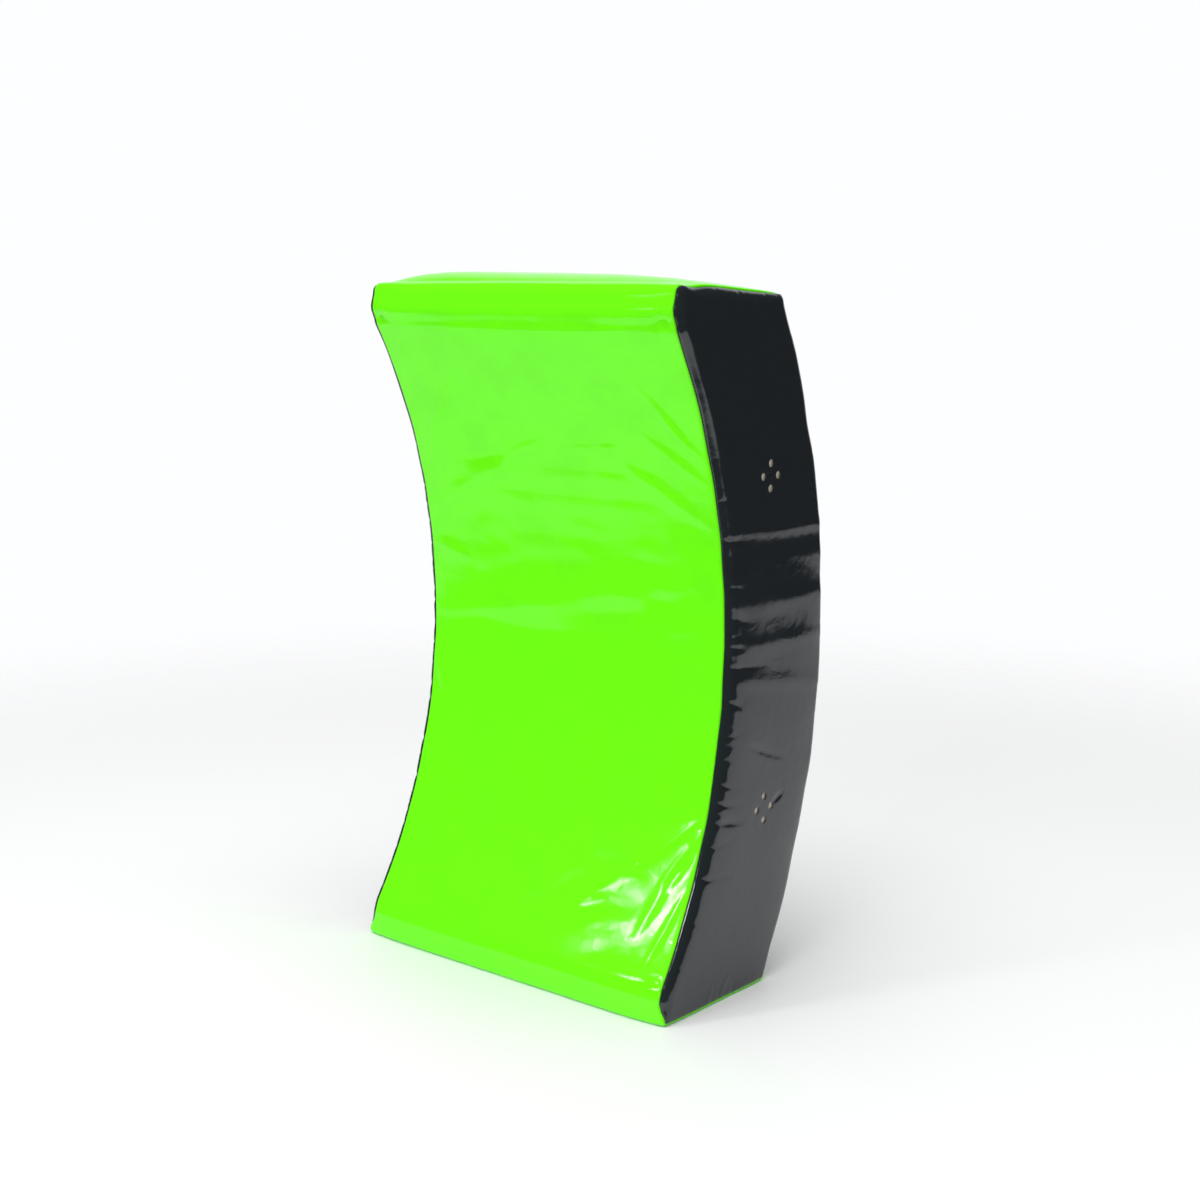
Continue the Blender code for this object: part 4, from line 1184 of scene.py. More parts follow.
def hard_finish(name, colors, roughness, metallic, patch, cut):
    """A hard finish in one colour, rubbed through to another in small places."""
    material, tree, shader, place = new_material(name)
    marks = placed_group(tree, handling_marks(), {"Place": place, "Patch size": patch})
    rubbed = add_node(tree, "ShaderNodeMapRange", {"Value": marks.outputs["Mask"], "From Min": cut,
                                                   "From Max": cut + 0.12})
    finish_surface(tree, shader, rubbed.outputs["Result"], colors, roughness,
                   math(tree, "MULTIPLY", marks.outputs["Mask"], 0.00002))
    if metallic:
        tree.links.new(rubbed.outputs["Result"], shader.inputs["Metallic"])
    return material


def moulded_nylon():
    return hard_finish("moulded_nylon", ((0.016, 0.016, 0.018), (0.045, 0.045, 0.047)), (0.34, 0.50),
                       False, 0.006, 0.50)


def black_enamel():
    return hard_finish("black_enamel", ((0.018, 0.018, 0.019), (0.42, 0.41, 0.40)), (0.24, 0.36),
                       True, 0.005, 0.72)


def sewing_thread():
    """Twisted thread, lit in fine bands."""
    material, tree, shader, place = new_material("charcoal_thread")
    bands = add_node(tree, "ShaderNodeTexWave", {"Vector": place, "Scale": 900.0, "Distortion": 2.0},
                     bands_direction="DIAGONAL")
    finish_surface(tree, shader, bands.outputs["Fac"], ((0.020, 0.021, 0.022), (0.075, 0.077, 0.080)),
                   (0.45, 0.65), math(tree, "MULTIPLY", bands.outputs["Fac"], 0.00008))
    return material


class TACKLEPAD_OT_cover(bpy.types.Operator):
    """Sew the cover: the green wrap panel, the black side panels and the black back panels"""
    bl_idname = "tacklepad.cover"
    bl_label = "Cover"

    def execute(self, context):
        form, cloth = context.scene.tacklepad_form, context.scene.tacklepad_cloth
        green = coated_cloth("green_coated_cloth", cloth.green, 0.09, 0.36)
        black = coated_cloth("black_coated_cloth", cloth.black, 0.10, 0.75)
        low_seam, low_slot, high_slot, high_seam = back_places()
        pieces = [
            (belt_panel("wrap_cover", low_seam - BELT_COUNT, high_seam, green, form, front_folds(form)),
             "wrap_panel"),
            (belt_panel("back_cover_upper", high_seam, high_slot, black, form, []), "back_panel_upper"),
            (belt_panel("back_cover_lower", low_slot, low_seam, black, form, []), "back_panel_lower"),
            (side_panel("side_cover_left", -1, black, form), "side_panel_left"),
            (side_panel("side_cover_right", 1, black, form), "side_panel_right"),
        ]
        for piece, node in pieces:
            fit(piece, "pad", "green_vinyl" if node == "wrap_panel" else "black_vinyl", node, fill=0.9)
        return {"FINISHED"}


def back_places():
    """The ring's places of the low seam, the zip slot's edges and the high seam on the back."""
    line = belt_line(PAD["sewn"])[0]
    heights = line[BACK_START:, 1][::-1]
    places = np.arange(BELT_COUNT - 1, BACK_START - 1, -1)
    lower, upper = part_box("back_panel_lower"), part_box("back_panel_upper")
    return [float(np.interp(z, heights, places))
            for z in (lower[0].z, lower[1].z, upper[0].z, upper[1].z)]


FOAM_ROUNDING = 0.019
FOAM_INSET = 0.0018
FOAM_SIDE_PLAY = 0.0006
# How much deeper the foam lies behind the zip, and how far from the zip that ends
FOAM_BEHIND_ZIP = 0.0050
FOAM_ZIP_SPAN = (0.022, 0.034)


def foam_lattice():
    """The foam just inside the cover, with its long edges rounded off."""
    inset = np.full(PAD["sewn"].shape[:3], FOAM_INSET)
    at_zip = 1 - smooth_step(abs(PAD["sewn"][:, -1, :, 2] - zip_axes().origin[2]), *FOAM_ZIP_SPAN)
    inset[:, -1] += FOAM_BEHIND_ZIP * at_zip
    foam = PAD["settled"] - lattice_normals(PAD["sewn"]) * inset[..., None]
    out = np.zeros((BELT_COUNT, 3))
    out[:, 1:] = ring_out(belt_line(PAD["sewn"])[0])
    quarter = np.array(pi / 4)
    ring = belt(np.stack(np.meshgrid(*[np.arange(n) for n in foam.shape[:3]], indexing="ij"), -1))
    for i, j, k in ring.reshape(-1, 3):
        side = 1.0 if i > ACROSS / 2 else -1.0
        away = abs(PAD["sewn"][-1 if side > 0 else 0, j, k][0]) - abs(PAD["sewn"][i, j, k][0])
        if 0 < i < ACROSS and away < FOAM_ROUNDING:
            number = BELT_INDEX[int(j), int(k)]
            foam[i, j, k] += rolled(np.array(FOAM_ROUNDING - away), FOAM_ROUNDING, out[number],
                                    side * ACROSS_THE_PAD, FOAM_ROUNDING, quarter)
    for index, side in ((0, -1.0), (-1, 1.0)):
        distance, way = outline_distance(PAD["sewn"][index])
        own = side * ACROSS_THE_PAD * np.ones_like(way)
        foam[index] -= own * FOAM_SIDE_PLAY
        foam[index] += rolled(np.maximum(FOAM_ROUNDING - distance, 0), FOAM_ROUNDING, own, way,
                              FOAM_ROUNDING, np.full(distance.shape, pi / 4))
    return foam


class TACKLEPAD_OT_foam(bpy.types.Operator):
    """Fill the cover with foam, which shows through the vents"""
    bl_idname = "tacklepad.foam"
    bl_label = "Foam"

    def execute(self, context):
        numbers, on_surface = surface_numbers()
        foam = new_body("foam_core", foam_lattice()[on_surface], hull_faces(numbers), cream_foam())
        fit(foam, "pad", "foam", "impact_foam", "backing_foam", fill=1.0)
        return {"FINISHED"}


def closed_loft(name, rings, material, uv=None, ends=True):
    """A closed body through rings of points, each as long as the others. ends caps both ends."""
    count, around = rings.shape[:2]
    numbers = np.arange(count * around).reshape(count, around)
    wrapped = np.concatenate([numbers, numbers[:, :1]], 1)
    if not ends:
        wrapped = np.concatenate([wrapped, wrapped[:1]])
    faces = quads(wrapped).tolist()
    if ends:
        faces += [numbers[0].tolist(), numbers[-1][::-1].tolist()]
    return new_body(name, rings.reshape(-1, 3), faces, material, uv)


ZIP_TAPE_END = 0.2122
ZIP_CHAIN_LEVEL = -0.00165
BEAD_INNER, BEAD_OUTER, TAPE_OUTER = 0.0026, 0.0042, 0.0162
BEAD_HALF, TAPE_HALF = 0.00105, 0.00033
TOOTH_PITCH = 0.0036
TOOTH_COUNT = 99
# The end tabs: from their near to their far end along the zip, half their width, and the same for
# the rectangle of stitches on each
END_TAB = (0.1852, 0.2152, 0.0100)
END_TAB_STITCHES = (0.1875, 0.2125, 0.0082)


def zip_tape(name, side, zip_frame, material):
    """One half of the zip's woven tape, with the round bead that its teeth are moulded on."""
    bead_middle, bead = (BEAD_INNER + BEAD_OUTER) / 2, (BEAD_OUTER - BEAD_INNER) / 2
    around_bead = [(bead_middle - bead * cos(t), BEAD_HALF * sin(t)) for t in np.linspace(-2.3, 2.3, 11)]
    upper = [(v, TAPE_HALF) for v in np.linspace(BEAD_OUTER + 0.0003, TAPE_OUTER - 0.0004, 7)]
    edge = [(TAPE_OUTER, 0.0)]
    section = np.array(around_bead + upper + edge + [(v, -w) for v, w in upper[::-1]])
    along = np.linspace(-ZIP_TAPE_END, ZIP_TAPE_END, 121)
    rings = zip_frame.world(along[:, None], side * section[None, :, 0],
                            ZIP_CHAIN_LEVEL + section[None, :, 1])
    rings = rings if side > 0 else rings[:, ::-1]
    across = section[:, 0] if side > 0 else section[::-1, 0]
    return closed_loft(name, rings, material, paired(across, along[:, None]))


def zip_tooth(material):
    """One moulded tooth round the origin: its root towards +Y, its head over the middle line."""
    half = [(0.0041, 0.00095), (0.0024, 0.00092), (0.0009, 0.00062), (-0.0006, 0.00078),
            (-0.0016, 0.00080), (-0.0023, 0.00050)]
    outline = np.array([(x, y) for y, x in half] + [(-x, y) for y, x in half[::-1]])
    middle = outline.mean(0)
    layers = []
    for level, size in ((-0.00128, 0.84), (-0.00098, 1.0), (0.00098, 1.0), (0.00128, 0.84)):
        flat = middle + (outline - middle) * (size, 0.5 + size / 2)
        layers.append(np.concatenate([flat, np.full((len(flat), 1), level)], 1))
    return closed_loft("zip_tooth", np.array(layers)[:, ::-1], material)


def zip_teeth(name, side, zip_frame, material):
    """The row of teeth on one tape, set out by Geometry Nodes."""
    tooth = zip_tooth(material)
    carrier = new_thing(name, bpy.data.meshes.new(name))
    turn = Matrix(zip_frame.ways * ((-side,), (side,), (1,))).transposed()
    first = TOOTH_PITCH * (side / 4 - (TOOTH_COUNT - 1) / 2)
    start = zip_frame.world(first, 0.0, ZIP_CHAIN_LEVEL)
    apply_nodes(carrier, row_of_teeth(), {
        "Piece": tooth, "Count": TOOTH_COUNT, "Start": tuple(start), "Step": (TOOTH_PITCH, 0.0, 0.0),
        "Turn": turn.to_euler(), "Material": material})
    bpy.data.objects.remove(tooth)
    carrier.data.shade_flat()
    return carrier


def finish_geometry(tree, instances, entry, leave):
    """End a tree the way that the export needs: real meshes with their material."""
    real = add_node(tree, "GeometryNodeRealizeInstances", {"Geometry": instances})
    dressed = add_node(tree, "GeometryNodeSetMaterial", {"Geometry": real.outputs["Geometry"],
                                                         "Material": entry.outputs["Material"]})
    tree.links.new(dressed.outputs["Geometry"], leave.inputs["Geometry"])


@built_once
def row_of_teeth(name):
    """Geometry Nodes that set a piece out along a straight row."""
    tree, entry, leave = node_group("GeometryNodeTree", name, {
        "Geometry": "Geometry", "Piece": "Object", "Count": "Int", "Start": "Vector", "Step": "Vector",
        "Turn": "Rotation", "Material": "Material"}, {"Geometry": "Geometry"})
    row = add_node(tree, "GeometryNodeMeshLine", {"Count": entry.outputs["Count"],
                                                  "Start Location": entry.outputs["Start"],
                                                  "Offset": entry.outputs["Step"]})
    piece = add_node(tree, "GeometryNodeObjectInfo", {"Object": entry.outputs["Piece"]})
    placed = add_node(tree, "GeometryNodeInstanceOnPoints", {
        "Points": row.outputs["Mesh"], "Instance": piece.outputs["Geometry"],
        "Rotation": entry.outputs["Turn"]})
    finish_geometry(tree, placed.outputs["Instances"], entry, leave)
    return tree


@built_once
def row_of_stitches(name):
    """Geometry Nodes that sew a row of stitches along each line of a mesh of edges."""
    tree, entry, leave = node_group("GeometryNodeTree", name, {
        "Geometry": "Geometry", "Pitch": "Float", "Stitch length": "Float", "Thread radius": "Float",
        "Material": "Material"}, {"Geometry": "Geometry"})
    line = add_node(tree, "GeometryNodeMeshToCurve", {"Mesh": entry.outputs["Geometry"]})
    points = add_node(tree, "GeometryNodeCurveToPoints", {"Curve": line.outputs["Curve"],
                                                          "Length": entry.outputs["Pitch"]}, mode="LENGTH")
    turn = add_node(tree, "FunctionNodeAlignRotationToVector", {"Vector": points.outputs["Tangent"]},
                    axis="Z")
    bead = add_node(tree, "GeometryNodeMeshUVSphere", {"Segments": 6, "Rings": 5, "Radius": 1.0})
    half = math(tree, "MULTIPLY", entry.outputs["Stitch length"], 0.5)
    size = add_node(tree, "ShaderNodeCombineXYZ", {"X": entry.outputs["Thread radius"],
                                                   "Y": entry.outputs["Thread radius"],
                                                   "Z": half})
    thread = add_node(tree, "GeometryNodeTransform", {"Geometry": bead.outputs["Mesh"],
                                                      "Scale": size.outputs["Vector"]})
    smooth = add_node(tree, "GeometryNodeSetShadeSmooth", {"Geometry": thread.outputs["Geometry"]})
    placed = add_node(tree, "GeometryNodeInstanceOnPoints", {
        "Points": points.outputs["Points"], "Instance": smooth.outputs["Geometry"],
        "Rotation": turn.outputs["Rotation"]})
    finish_geometry(tree, placed.outputs["Instances"], entry, leave)
    return tree


def apply_nodes(thing, tree, values):
    """Run a Geometry Nodes tree on an object with the given inputs, and keep the plain result."""
    modifier = thing.modifiers.new("nodes", "NODES")
    modifier.node_group = tree
    for item in tree.interface.items_tree:
        if item.in_out == "INPUT" and item.name in values:
            modifier[item.identifier] = values[item.name]
    thing.update_tag()
    plain_mesh(thing)


def stitched(name, lines, body, material, pitch=0.0042, length=0.0033, radius=0.00030):
    """Rows of stitches along 3-D lines, as one piece that rides on one body."""
    points, edges = [], []
    for line in lines:
        first = len(points)
        points += [tuple(point) for point in line]
        edges += [(number, number + 1) for number in range(first, len(points) - 1)]
    rows = new_thing(name, mesh_of(name, points, [], edges))
    apply_nodes(rows, row_of_stitches(), {"Pitch": pitch, "Stitch length": length, "Thread radius": radius,
                                      "Material": material})
    fit(rows, body, "webbing")


def zip_end_tab(name, side, zip_frame, material):
    """A cloth tab sewn over one end of the zip, where the tapes would show the foam."""
    near, far, half = END_TAB
    along = graded(far - near, 0.0016, 0.0007, 0.004) + near
    down = graded(2 * half, 0.0014, 0.0006, 0.004) - half
    away = np.minimum(np.minimum(along - near, far - along)[:, None], (half - abs(down))[None])
    puff = 0.0004 + 0.0006 * np.sqrt(1 - np.clip(1 - away / 0.0012, 0, 1) ** 2)
    dent = 0.0003 * (1 - smooth_step(abs(down), 0.003, 0.007))[None] * smooth_step(away, 0.001, 0.004)
    layers = [zip_frame.world(side * along[:, None], down[None], puff - dent),
              zip_frame.world(side * along[:, None], down[None], np.full(puff.shape, 0.0001))]
    return slab(name, layers, side > 0, paired(along[:, None], down[None]), material)


def slab(name, layers, flipped, flat, material):
    """A thin closed body between an outer and an inner grid of points."""
    rows, columns = layers[0].shape[:2]
    ring = border_ring(rows, columns)
    total = rows * columns
    numbers = np.arange(total).reshape(rows, columns)
    faces = quads(numbers).tolist() + (quads(numbers)[:, ::-1] + total).tolist()
    faces += np.stack([ring, ring + total, np.roll(ring, -1) + total, np.roll(ring, -1)], -1).tolist()
    if flipped:
        faces = [face[::-1] for face in faces]
    points = np.concatenate([layer.reshape(-1, 3) for layer in layers])
    return new_body(name, points, faces, material, np.concatenate([flat.reshape(-1, 2)] * 2))


class TACKLEPAD_OT_zip(bpy.types.Operator):
    """Fit the zip: woven tapes, moulded teeth, stops, slider, pull tab and end tabs"""
    bl_idname = "tacklepad.zip"
    bl_label = "Zip"

    def execute(self, context):
        zip_frame = zip_axes()
        tape_cloth = woven_strap("zip_tape_cloth", (0.014, 0.014, 0.015), 0.00055, 0.5, 0.00006)
        nylon, enamel = moulded_nylon(), black_enamel()
        for label, side in (("lower", 1), ("upper", -1)):
            tape = zip_tape(f"zip_tape_{label}", side, zip_frame, tape_cloth)
            teeth = zip_teeth(f"zip_teeth_{label}", side, zip_frame, nylon)
            for piece in (tape, teeth):
                fit(piece, "pad", "zip_nylon", f"zip_stringer_{label}")
        tab_cloth = coated_cloth("black_tab_cloth", context.scene.tacklepad_cloth.black, 0.30)
        for label, side in (("left", -1), ("right", 1)):
            tab = zip_end_tab(f"zip_end_tab_{label}", side, zip_frame, tab_cloth)
            fit(tab, "pad", "black_vinyl")
            dress(f"zip_stop_{label}", nylon)
        dress("zip_slider", enamel)
        dress("zip_pull_tab", enamel)
        return {"FINISHED"}


def dress(node, material):
    """Give a carried-over CAD node a finished material."""
    for slot in frame["nodes"][node].material_slots:
        slot.material = material


def swing_axes(label):
    """A handle's own frame: out from its hinge axis, up along it and across the pad."""
    pivot, up, out = joint_line(label + "_swing")
    return Axes(pivot, out, up, ACROSS_THE_PAD)


def in_plane(plane, line):
    """Profile points (y, z) as places out and up in a handle's frame."""
    return (line - plane.origin[1:]) @ plane.ways[:2, 1:].T


def back_line(lift):
    """The back's profile from bottom to top lifted off its surface, and the distance along it."""
    line = PAD["sewn"][0, -1, :, 1:]
    tangent = unit(np.gradient(line, axis=0))
    return line + np.stack([tangent[:, 1], -tangent[:, 0]], 1) * lift, lengths_along(line)


def along_back(lift, places):
    line, along = back_line(lift)
    return np.stack([np.interp(places, along, line[:, axis]) for axis in (0, 1)], 1)


def strap_path(plane, handles):
    """The webbing's middle line in the swing plane, from its lower end to its upper one."""
    lift = 0.0006 + handles.patch_thickness + handles.webbing_thickness / 2
    middle = back_line(0.0)[1][-1] / 2
    halves = []
    for side in (-1, 1):
        places = middle + side * (handles.spacing / 2 + np.linspace(handles.sewn, 0, 24))
        sewn = in_plane(plane, along_back(lift, places))
        root = sewn[-1] + unit(sewn[-1] - sewn[-2]) * ROOT_BEND / 2
        shoulder = np.array((handles.rise, side * handles.run / 2))
        top = np.array((handles.rise, 0.0))
        halves.append(np.concatenate([sewn[:-1], rounded_corner(sewn[-1], root, shoulder, ROOT_BEND, 12),
                                      rounded_corner(root, shoulder, top, SHOULDER_BEND, 20)]))
    return np.concatenate([halves[0], halves[1][::-1]])


ROOT_BEND = 0.008
SHOULDER_BEND = 0.020
# How far a patch reaches past the sewn strap towards the grip and away from it
PATCH_NEAR, PATCH_FAR = 0.007, 0.012


def patch_span(handles):
    """Where a patch starts and ends along the back, from the middle between the two."""
    return handles.spacing / 2 - PATCH_NEAR, handles.spacing / 2 + handles.sewn + PATCH_FAR


def webbing_section(width, thickness):
    """Round the webbing's section, as places across it and through it."""
    round_off = thickness / 2
    flat = np.linspace(-width / 2 + round_off, width / 2 - round_off, 13)
    turn = np.linspace(-pi / 2, pi / 2, 5)[1:-1]
    right = np.stack([width / 2 - round_off + round_off * np.cos(turn), round_off * np.sin(turn)], 1)
    top = np.stack([flat[::-1], np.full(13, thickness / 2)], 1)
    return np.concatenate([np.stack([flat, np.full(13, -thickness / 2)], 1), right, top,
                           (right * (-1, 1))[::-1]])


def webbing_strap(name, plane, path, handles, material):
    """Webbing along a path in the swing plane."""
    section = webbing_section(handles.webbing_width, handles.webbing_thickness)
    tangent = unit(np.gradient(path, axis=0))
    normal = np.stack([tangent[:, 1], -tangent[:, 0]], 1)
    places = path[:, None] + normal[:, None] * section[None, :, 1:]
    rings = plane.world(places[..., 0], places[..., 1], section[None, :, 0])
    uv = paired(section[::-1, 0], lengths_along(path)[:, None])
    return closed_loft(name, rings[:, ::-1], material, uv)


def rounded_slab(width, depth, squareness, count):
    """A rounded rectangle's outline, round from the side."""
    turn = np.linspace(0, 2 * pi, count, endpoint=False)
    return np.stack([width / 2 * np.sign(np.cos(turn)) * abs(np.cos(turn)) ** squareness,
                     depth / 2 * np.sign(np.sin(turn)) * abs(np.sin(turn)) ** squareness], 1)


def padded_grip(name, plane, handles, material):
    """A padded sleeve round the strap, rounded at its ends, with a slot that the strap runs in."""
    around = 64
    slot = rounded_slab(handles.webbing_width + 0.0008, handles.webbing_thickness + 0.0008, 0.25, around)
    half = handles.grip_length / 2
    levels = half * np.sin(np.linspace(-pi / 2, pi / 2, 61))
    rings = []
    for level in levels:
        outline = grip_outline(level, handles, around)
        rings.append(plane.world(handles.rise + outline[:, 1], level, outline[:, 0]))
    for level in np.linspace(half, -half, 9):
        end = 0.0012 if abs(level) == half else 0.0
        rings.append(plane.world(handles.rise + slot[:, 1], level - np.sign(level) * end, slot[:, 0]))
    uv = np.zeros((len(rings), around, 2))
    uv[..., 0] = np.linspace(0, 2 * (handles.grip_width + handles.grip_depth), around)[None]
    uv[..., 1] = np.concatenate([levels, np.linspace(half, -half, 9)])[::-1, None]
    return closed_loft(name, np.array(rings)[::-1], material, uv, ends=False)


def handle_patch(name, plane, side, handles, material):
    """A cloth patch with rounded corners, lying on the back under one sewn end."""
    middle = back_line(0.0)[1][-1] / 2
    near, far = patch_span(handles)
    length = far - near
    corner = handles.patch_corner
    along = graded(length, 0.0024, 0.0008, 0.010)
    inset = np.maximum(0, corner - np.minimum(along, length - along))
    half = handles.patch_width / 2 - corner + np.sqrt(np.maximum(corner ** 2 - inset ** 2, 1e-10))
    across = graded(2.0, 0.08, 0.03, 0.3) - 1
    edge = half[:, None] * (1 - abs(across[None])) + 1e-9
    away = np.minimum(edge, np.minimum(along, length - along)[:, None])
    puff = handles.patch_thickness * (0.35 + 0.65 * np.sqrt(1 - np.clip(1 - away / 0.0012, 0, 1) ** 2))
    layers = []
    for lift in (puff + 0.0003, np.full(puff.shape, 0.0003)):
        places = middle + side * (near + along)
        low, high = along_back(0.0, places), along_back(1.0, places)
        spot = low[:, None] + (high - low)[:, None] * lift[..., None]
        x = plane.origin[0] + across[None] * half[:, None]
        layers.append(np.concatenate([x[..., None], spot], -1))
    flat = paired(across[None] * half[:, None], along[:, None])
    return slab(name, layers, side < 0, flat, material)


# Steps in half a strap, and two distances out from the hinge axis at which points of the strap are found,
# though nothing makes it follow the swing
HALF_STRAP = 75
BLEND_FROM, BLEND_TO = 0.004, 0.017


class TACKLEPAD_OT_handles(bpy.types.Operator):
    """Make the two handles: patches, sewn webbing and padded grips"""
    bl_idname = "tacklepad.handles"
    bl_label = "Handles"

    def execute(self, context):
        handles, cloth = context.scene.tacklepad_handles, context.scene.tacklepad_cloth
        black = coated_cloth("black_patch_cloth", cloth.black, 0.30)
        webbing = woven_strap("black_webbing", (0.016, 0.016, 0.017), 0.0017, 0.62, 0.00022)
        for label in ("handle_left", "handle_right"):
            plane = swing_axes(label)
            path = resample(strap_path(plane, handles), 2 * HALF_STRAP + 1)
            for half, part in (("lower", path[:HALF_STRAP + 1]), ("upper", path[HALF_STRAP:])):
                strap = webbing_strap(f"{label}_strap_{half}", plane, part, handles, webbing)
                fit(strap, None, "webbing", f"{label}_sewn_end_{half}", f"{label}_loop")
                rising = part if half == "lower" else part[::-1]
                start, end = (tuple(plane.world(*rising[np.argmax(rising[:, 0] > out)], 0.0))
                              for out in (BLEND_FROM, BLEND_TO))
                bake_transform(strap)
                patch = handle_patch(f"{label}_cloth_patch_{half}", plane, 1 if half == "upper" else -1,
                                     handles, black)
                fit(patch, "pad", "black_vinyl", f"{label}_patch_{half}")
            grip = padded_grip(f"{label}_padded_grip", plane, handles, black)
            fit(grip, label, "black_vinyl", f"{label}_grip", fill=0.9)
        return {"FINISHED"}


# Stitches run this far inside an edge, and the crossed box this far inside the sewn strap's two ends
STITCH_INSET = 0.003
BOX_NEAR, BOX_FAR = 0.006, 0.004


def patch_edge(plane, side, lift, half_width, near, far, crossed=False):
    """A rectangle of stitching on the back round a sewn end, and a cross in it if asked."""
    middle = back_line(0.0)[1][-1] / 2
    corners = [(-half_width, near), (half_width, near), (half_width, far), (-half_width, far),
               (-half_width, near)]
    if crossed:
        corners += [(half_width, far), (half_width, near), (-half_width, far)]
    line = resample(np.array(corners), 160)
    spot = along_back(lift, middle + side * line[:, 1])
    return np.concatenate([plane.origin[0] + line[:, :1], spot], 1)


def sewn_end_rows(plane, side, handles):
    """The stitching of one patch and of the crossed box that holds the strap on it."""
    lift = 0.0004 + handles.patch_thickness
    near, far = patch_span(handles)
    patch = patch_edge(plane, side, lift, handles.patch_width / 2 - STITCH_INSET,
                       near + STITCH_INSET, far - STITCH_INSET)
    top = lift + handles.webbing_thickness + 0.00025
    near, far = handles.spacing / 2 + BOX_NEAR, handles.spacing / 2 + handles.sewn - BOX_FAR
    strap = patch_edge(plane, side, top, handles.webbing_width / 2 - STITCH_INSET, near, far, crossed=True)
    return [patch, strap]


# How much the sleeve loses in width and depth at its ends, and the power that squares its section
GRIP_END_WIDTH, GRIP_END_DEPTH = 0.007, 0.011
GRIP_SQUARENESS = 0.72


def grip_outline(level, handles, count):
    """The padded sleeve's section at a distance from its middle."""
    narrower = 1 - (1 - abs(2 * level / handles.grip_length) ** 6) ** 0.5
    return rounded_slab(handles.grip_width - GRIP_END_WIDTH * narrower,
                        handles.grip_depth - GRIP_END_DEPTH * narrower, GRIP_SQUARENESS, count)


GRIP_STITCH_REACH = 0.046
GRIP_STITCH_ASIDE = 0.006
GRIP_END_STITCH = 0.0505


def grip_rows(plane, handles):
    """The sleeve's two rows of stitching on its inner side, and one round each of its ends."""
    levels = np.linspace(-GRIP_STITCH_REACH, GRIP_STITCH_REACH, 60)
    out = handles.rise - handles.grip_depth / 2 * 0.998 - 0.00005
    rows = [plane.world(out, levels, aside) for aside in (-GRIP_STITCH_ASIDE, GRIP_STITCH_ASIDE)]
    for level in (-GRIP_END_STITCH, GRIP_END_STITCH):
        outline = grip_outline(level, handles, 97)
        outline = np.concatenate([outline, outline[:1]])
        rows.append(plane.world(handles.rise + outline[:, 1] * 1.01, level, outline[:, 0] * 1.003))
    return rows


def panel_row(name, distance, last, margin=0.012):
    """A row across a belt panel at a distance from its first or last edge."""
    grid, normals = PAD[name]
    along = lengths_along(grid[len(grid) // 2])
    place = np.interp(along[-1] - distance if last else distance, along, np.arange(len(along)))
    low, share = int(place), place - int(place)
    row = grid[:, low] * (1 - share) + grid[:, low + 1] * share + normals[:, low] * 0.00012
    return row[abs(row[:, 0]) < abs(row[0, 0]) - margin]


def seam_row(name):
    """The thread that shows in the groove all round a side panel."""
    grid, out = PAD[name]
    ring = border_ring(*grid.shape[:2])
    line = (grid + out * 0.00022).reshape(-1, 3)[ring]
    line[:, 2] = np.maximum(line[:, 2], FLOOR_LEVEL + 0.0003)
    return np.concatenate([line, line[:1]])


class TACKLEPAD_OT_stitches(bpy.types.Operator):
    """Sew it together: rows of stitches on the cover, the patches, the straps and the grips"""
    bl_idname = "tacklepad.stitches"
    bl_label = "Stitches"

    def execute(self, context):
        handles, thread = context.scene.tacklepad_handles, sewing_thread()
        stitched("side_seam_stitches", [seam_row("side_cover_left"), seam_row("side_cover_right")],
                 "pad", thread, pitch=0.0038, length=0.0029, radius=0.00028)
        hems = [panel_row(f"back_cover_{part}", STITCH_INSET, last)
                for part in ("upper", "lower") for last in (False, True)]
        stitched("back_stitches", hems, "pad", thread)
        zip_frame = zip_axes()
        near, far, half = END_TAB_STITCHES
        corners = [(near, -half), (far, -half), (far, half), (near, half), (near, -half)]
        line = resample(np.array(corners), 80)
        tabs = [zip_frame.world(side * line[:, 0], line[:, 1], 0.00102) for side in (-1, 1)]
        stitched("end_tab_stitches", tabs, "pad", thread, pitch=0.0032, length=0.0025, radius=0.00022)
        for label in ("handle_left", "handle_right"):
            plane = swing_axes(label)
            ends = sewn_end_rows(plane, -1, handles) + sewn_end_rows(plane, 1, handles)
            for name, rows, body in (("anchor", ends, "pad"), ("grip", grip_rows(plane, handles), label)):
                stitched(f"{label}_{name}_stitches", rows, body, thread, pitch=0.0036, length=0.0028)
        return {"FINISHED"}


def looking(thing, place, aim):
    """Stand a camera or a lamp at a place, and turn it to its aim."""
    thing.location = place
    thing.rotation_euler = (Vector(aim) - Vector(place)).to_track_quat("-Z", "Y").to_euler()


def place_camera(scene, studio):
    """The camera at the photograph's angle, with no shift."""
    back = Vector((sin(studio.yaw) * cos(studio.pitch), -cos(studio.yaw) * cos(studio.pitch),
                   sin(studio.pitch)))
    data = bpy.data.cameras.new("camera")
    data.lens = studio.lens
    scene.camera = new_thing("camera", data)
    looking(scene.camera, Vector(studio.aim) + back * studio.distance, studio.aim)


# Corners of the sweep that reflections show, and how far the rest of the floor runs
SWEEP = ((-3.0, -1.42), (1.5, -0.40), (1.5, 2.9), (-3.0, 2.9))
FLOOR_REACH = 30.0
# Distances from the pad between which the floor melts into the room
FADE_FROM, FADE_TO = 0.8, 2.2


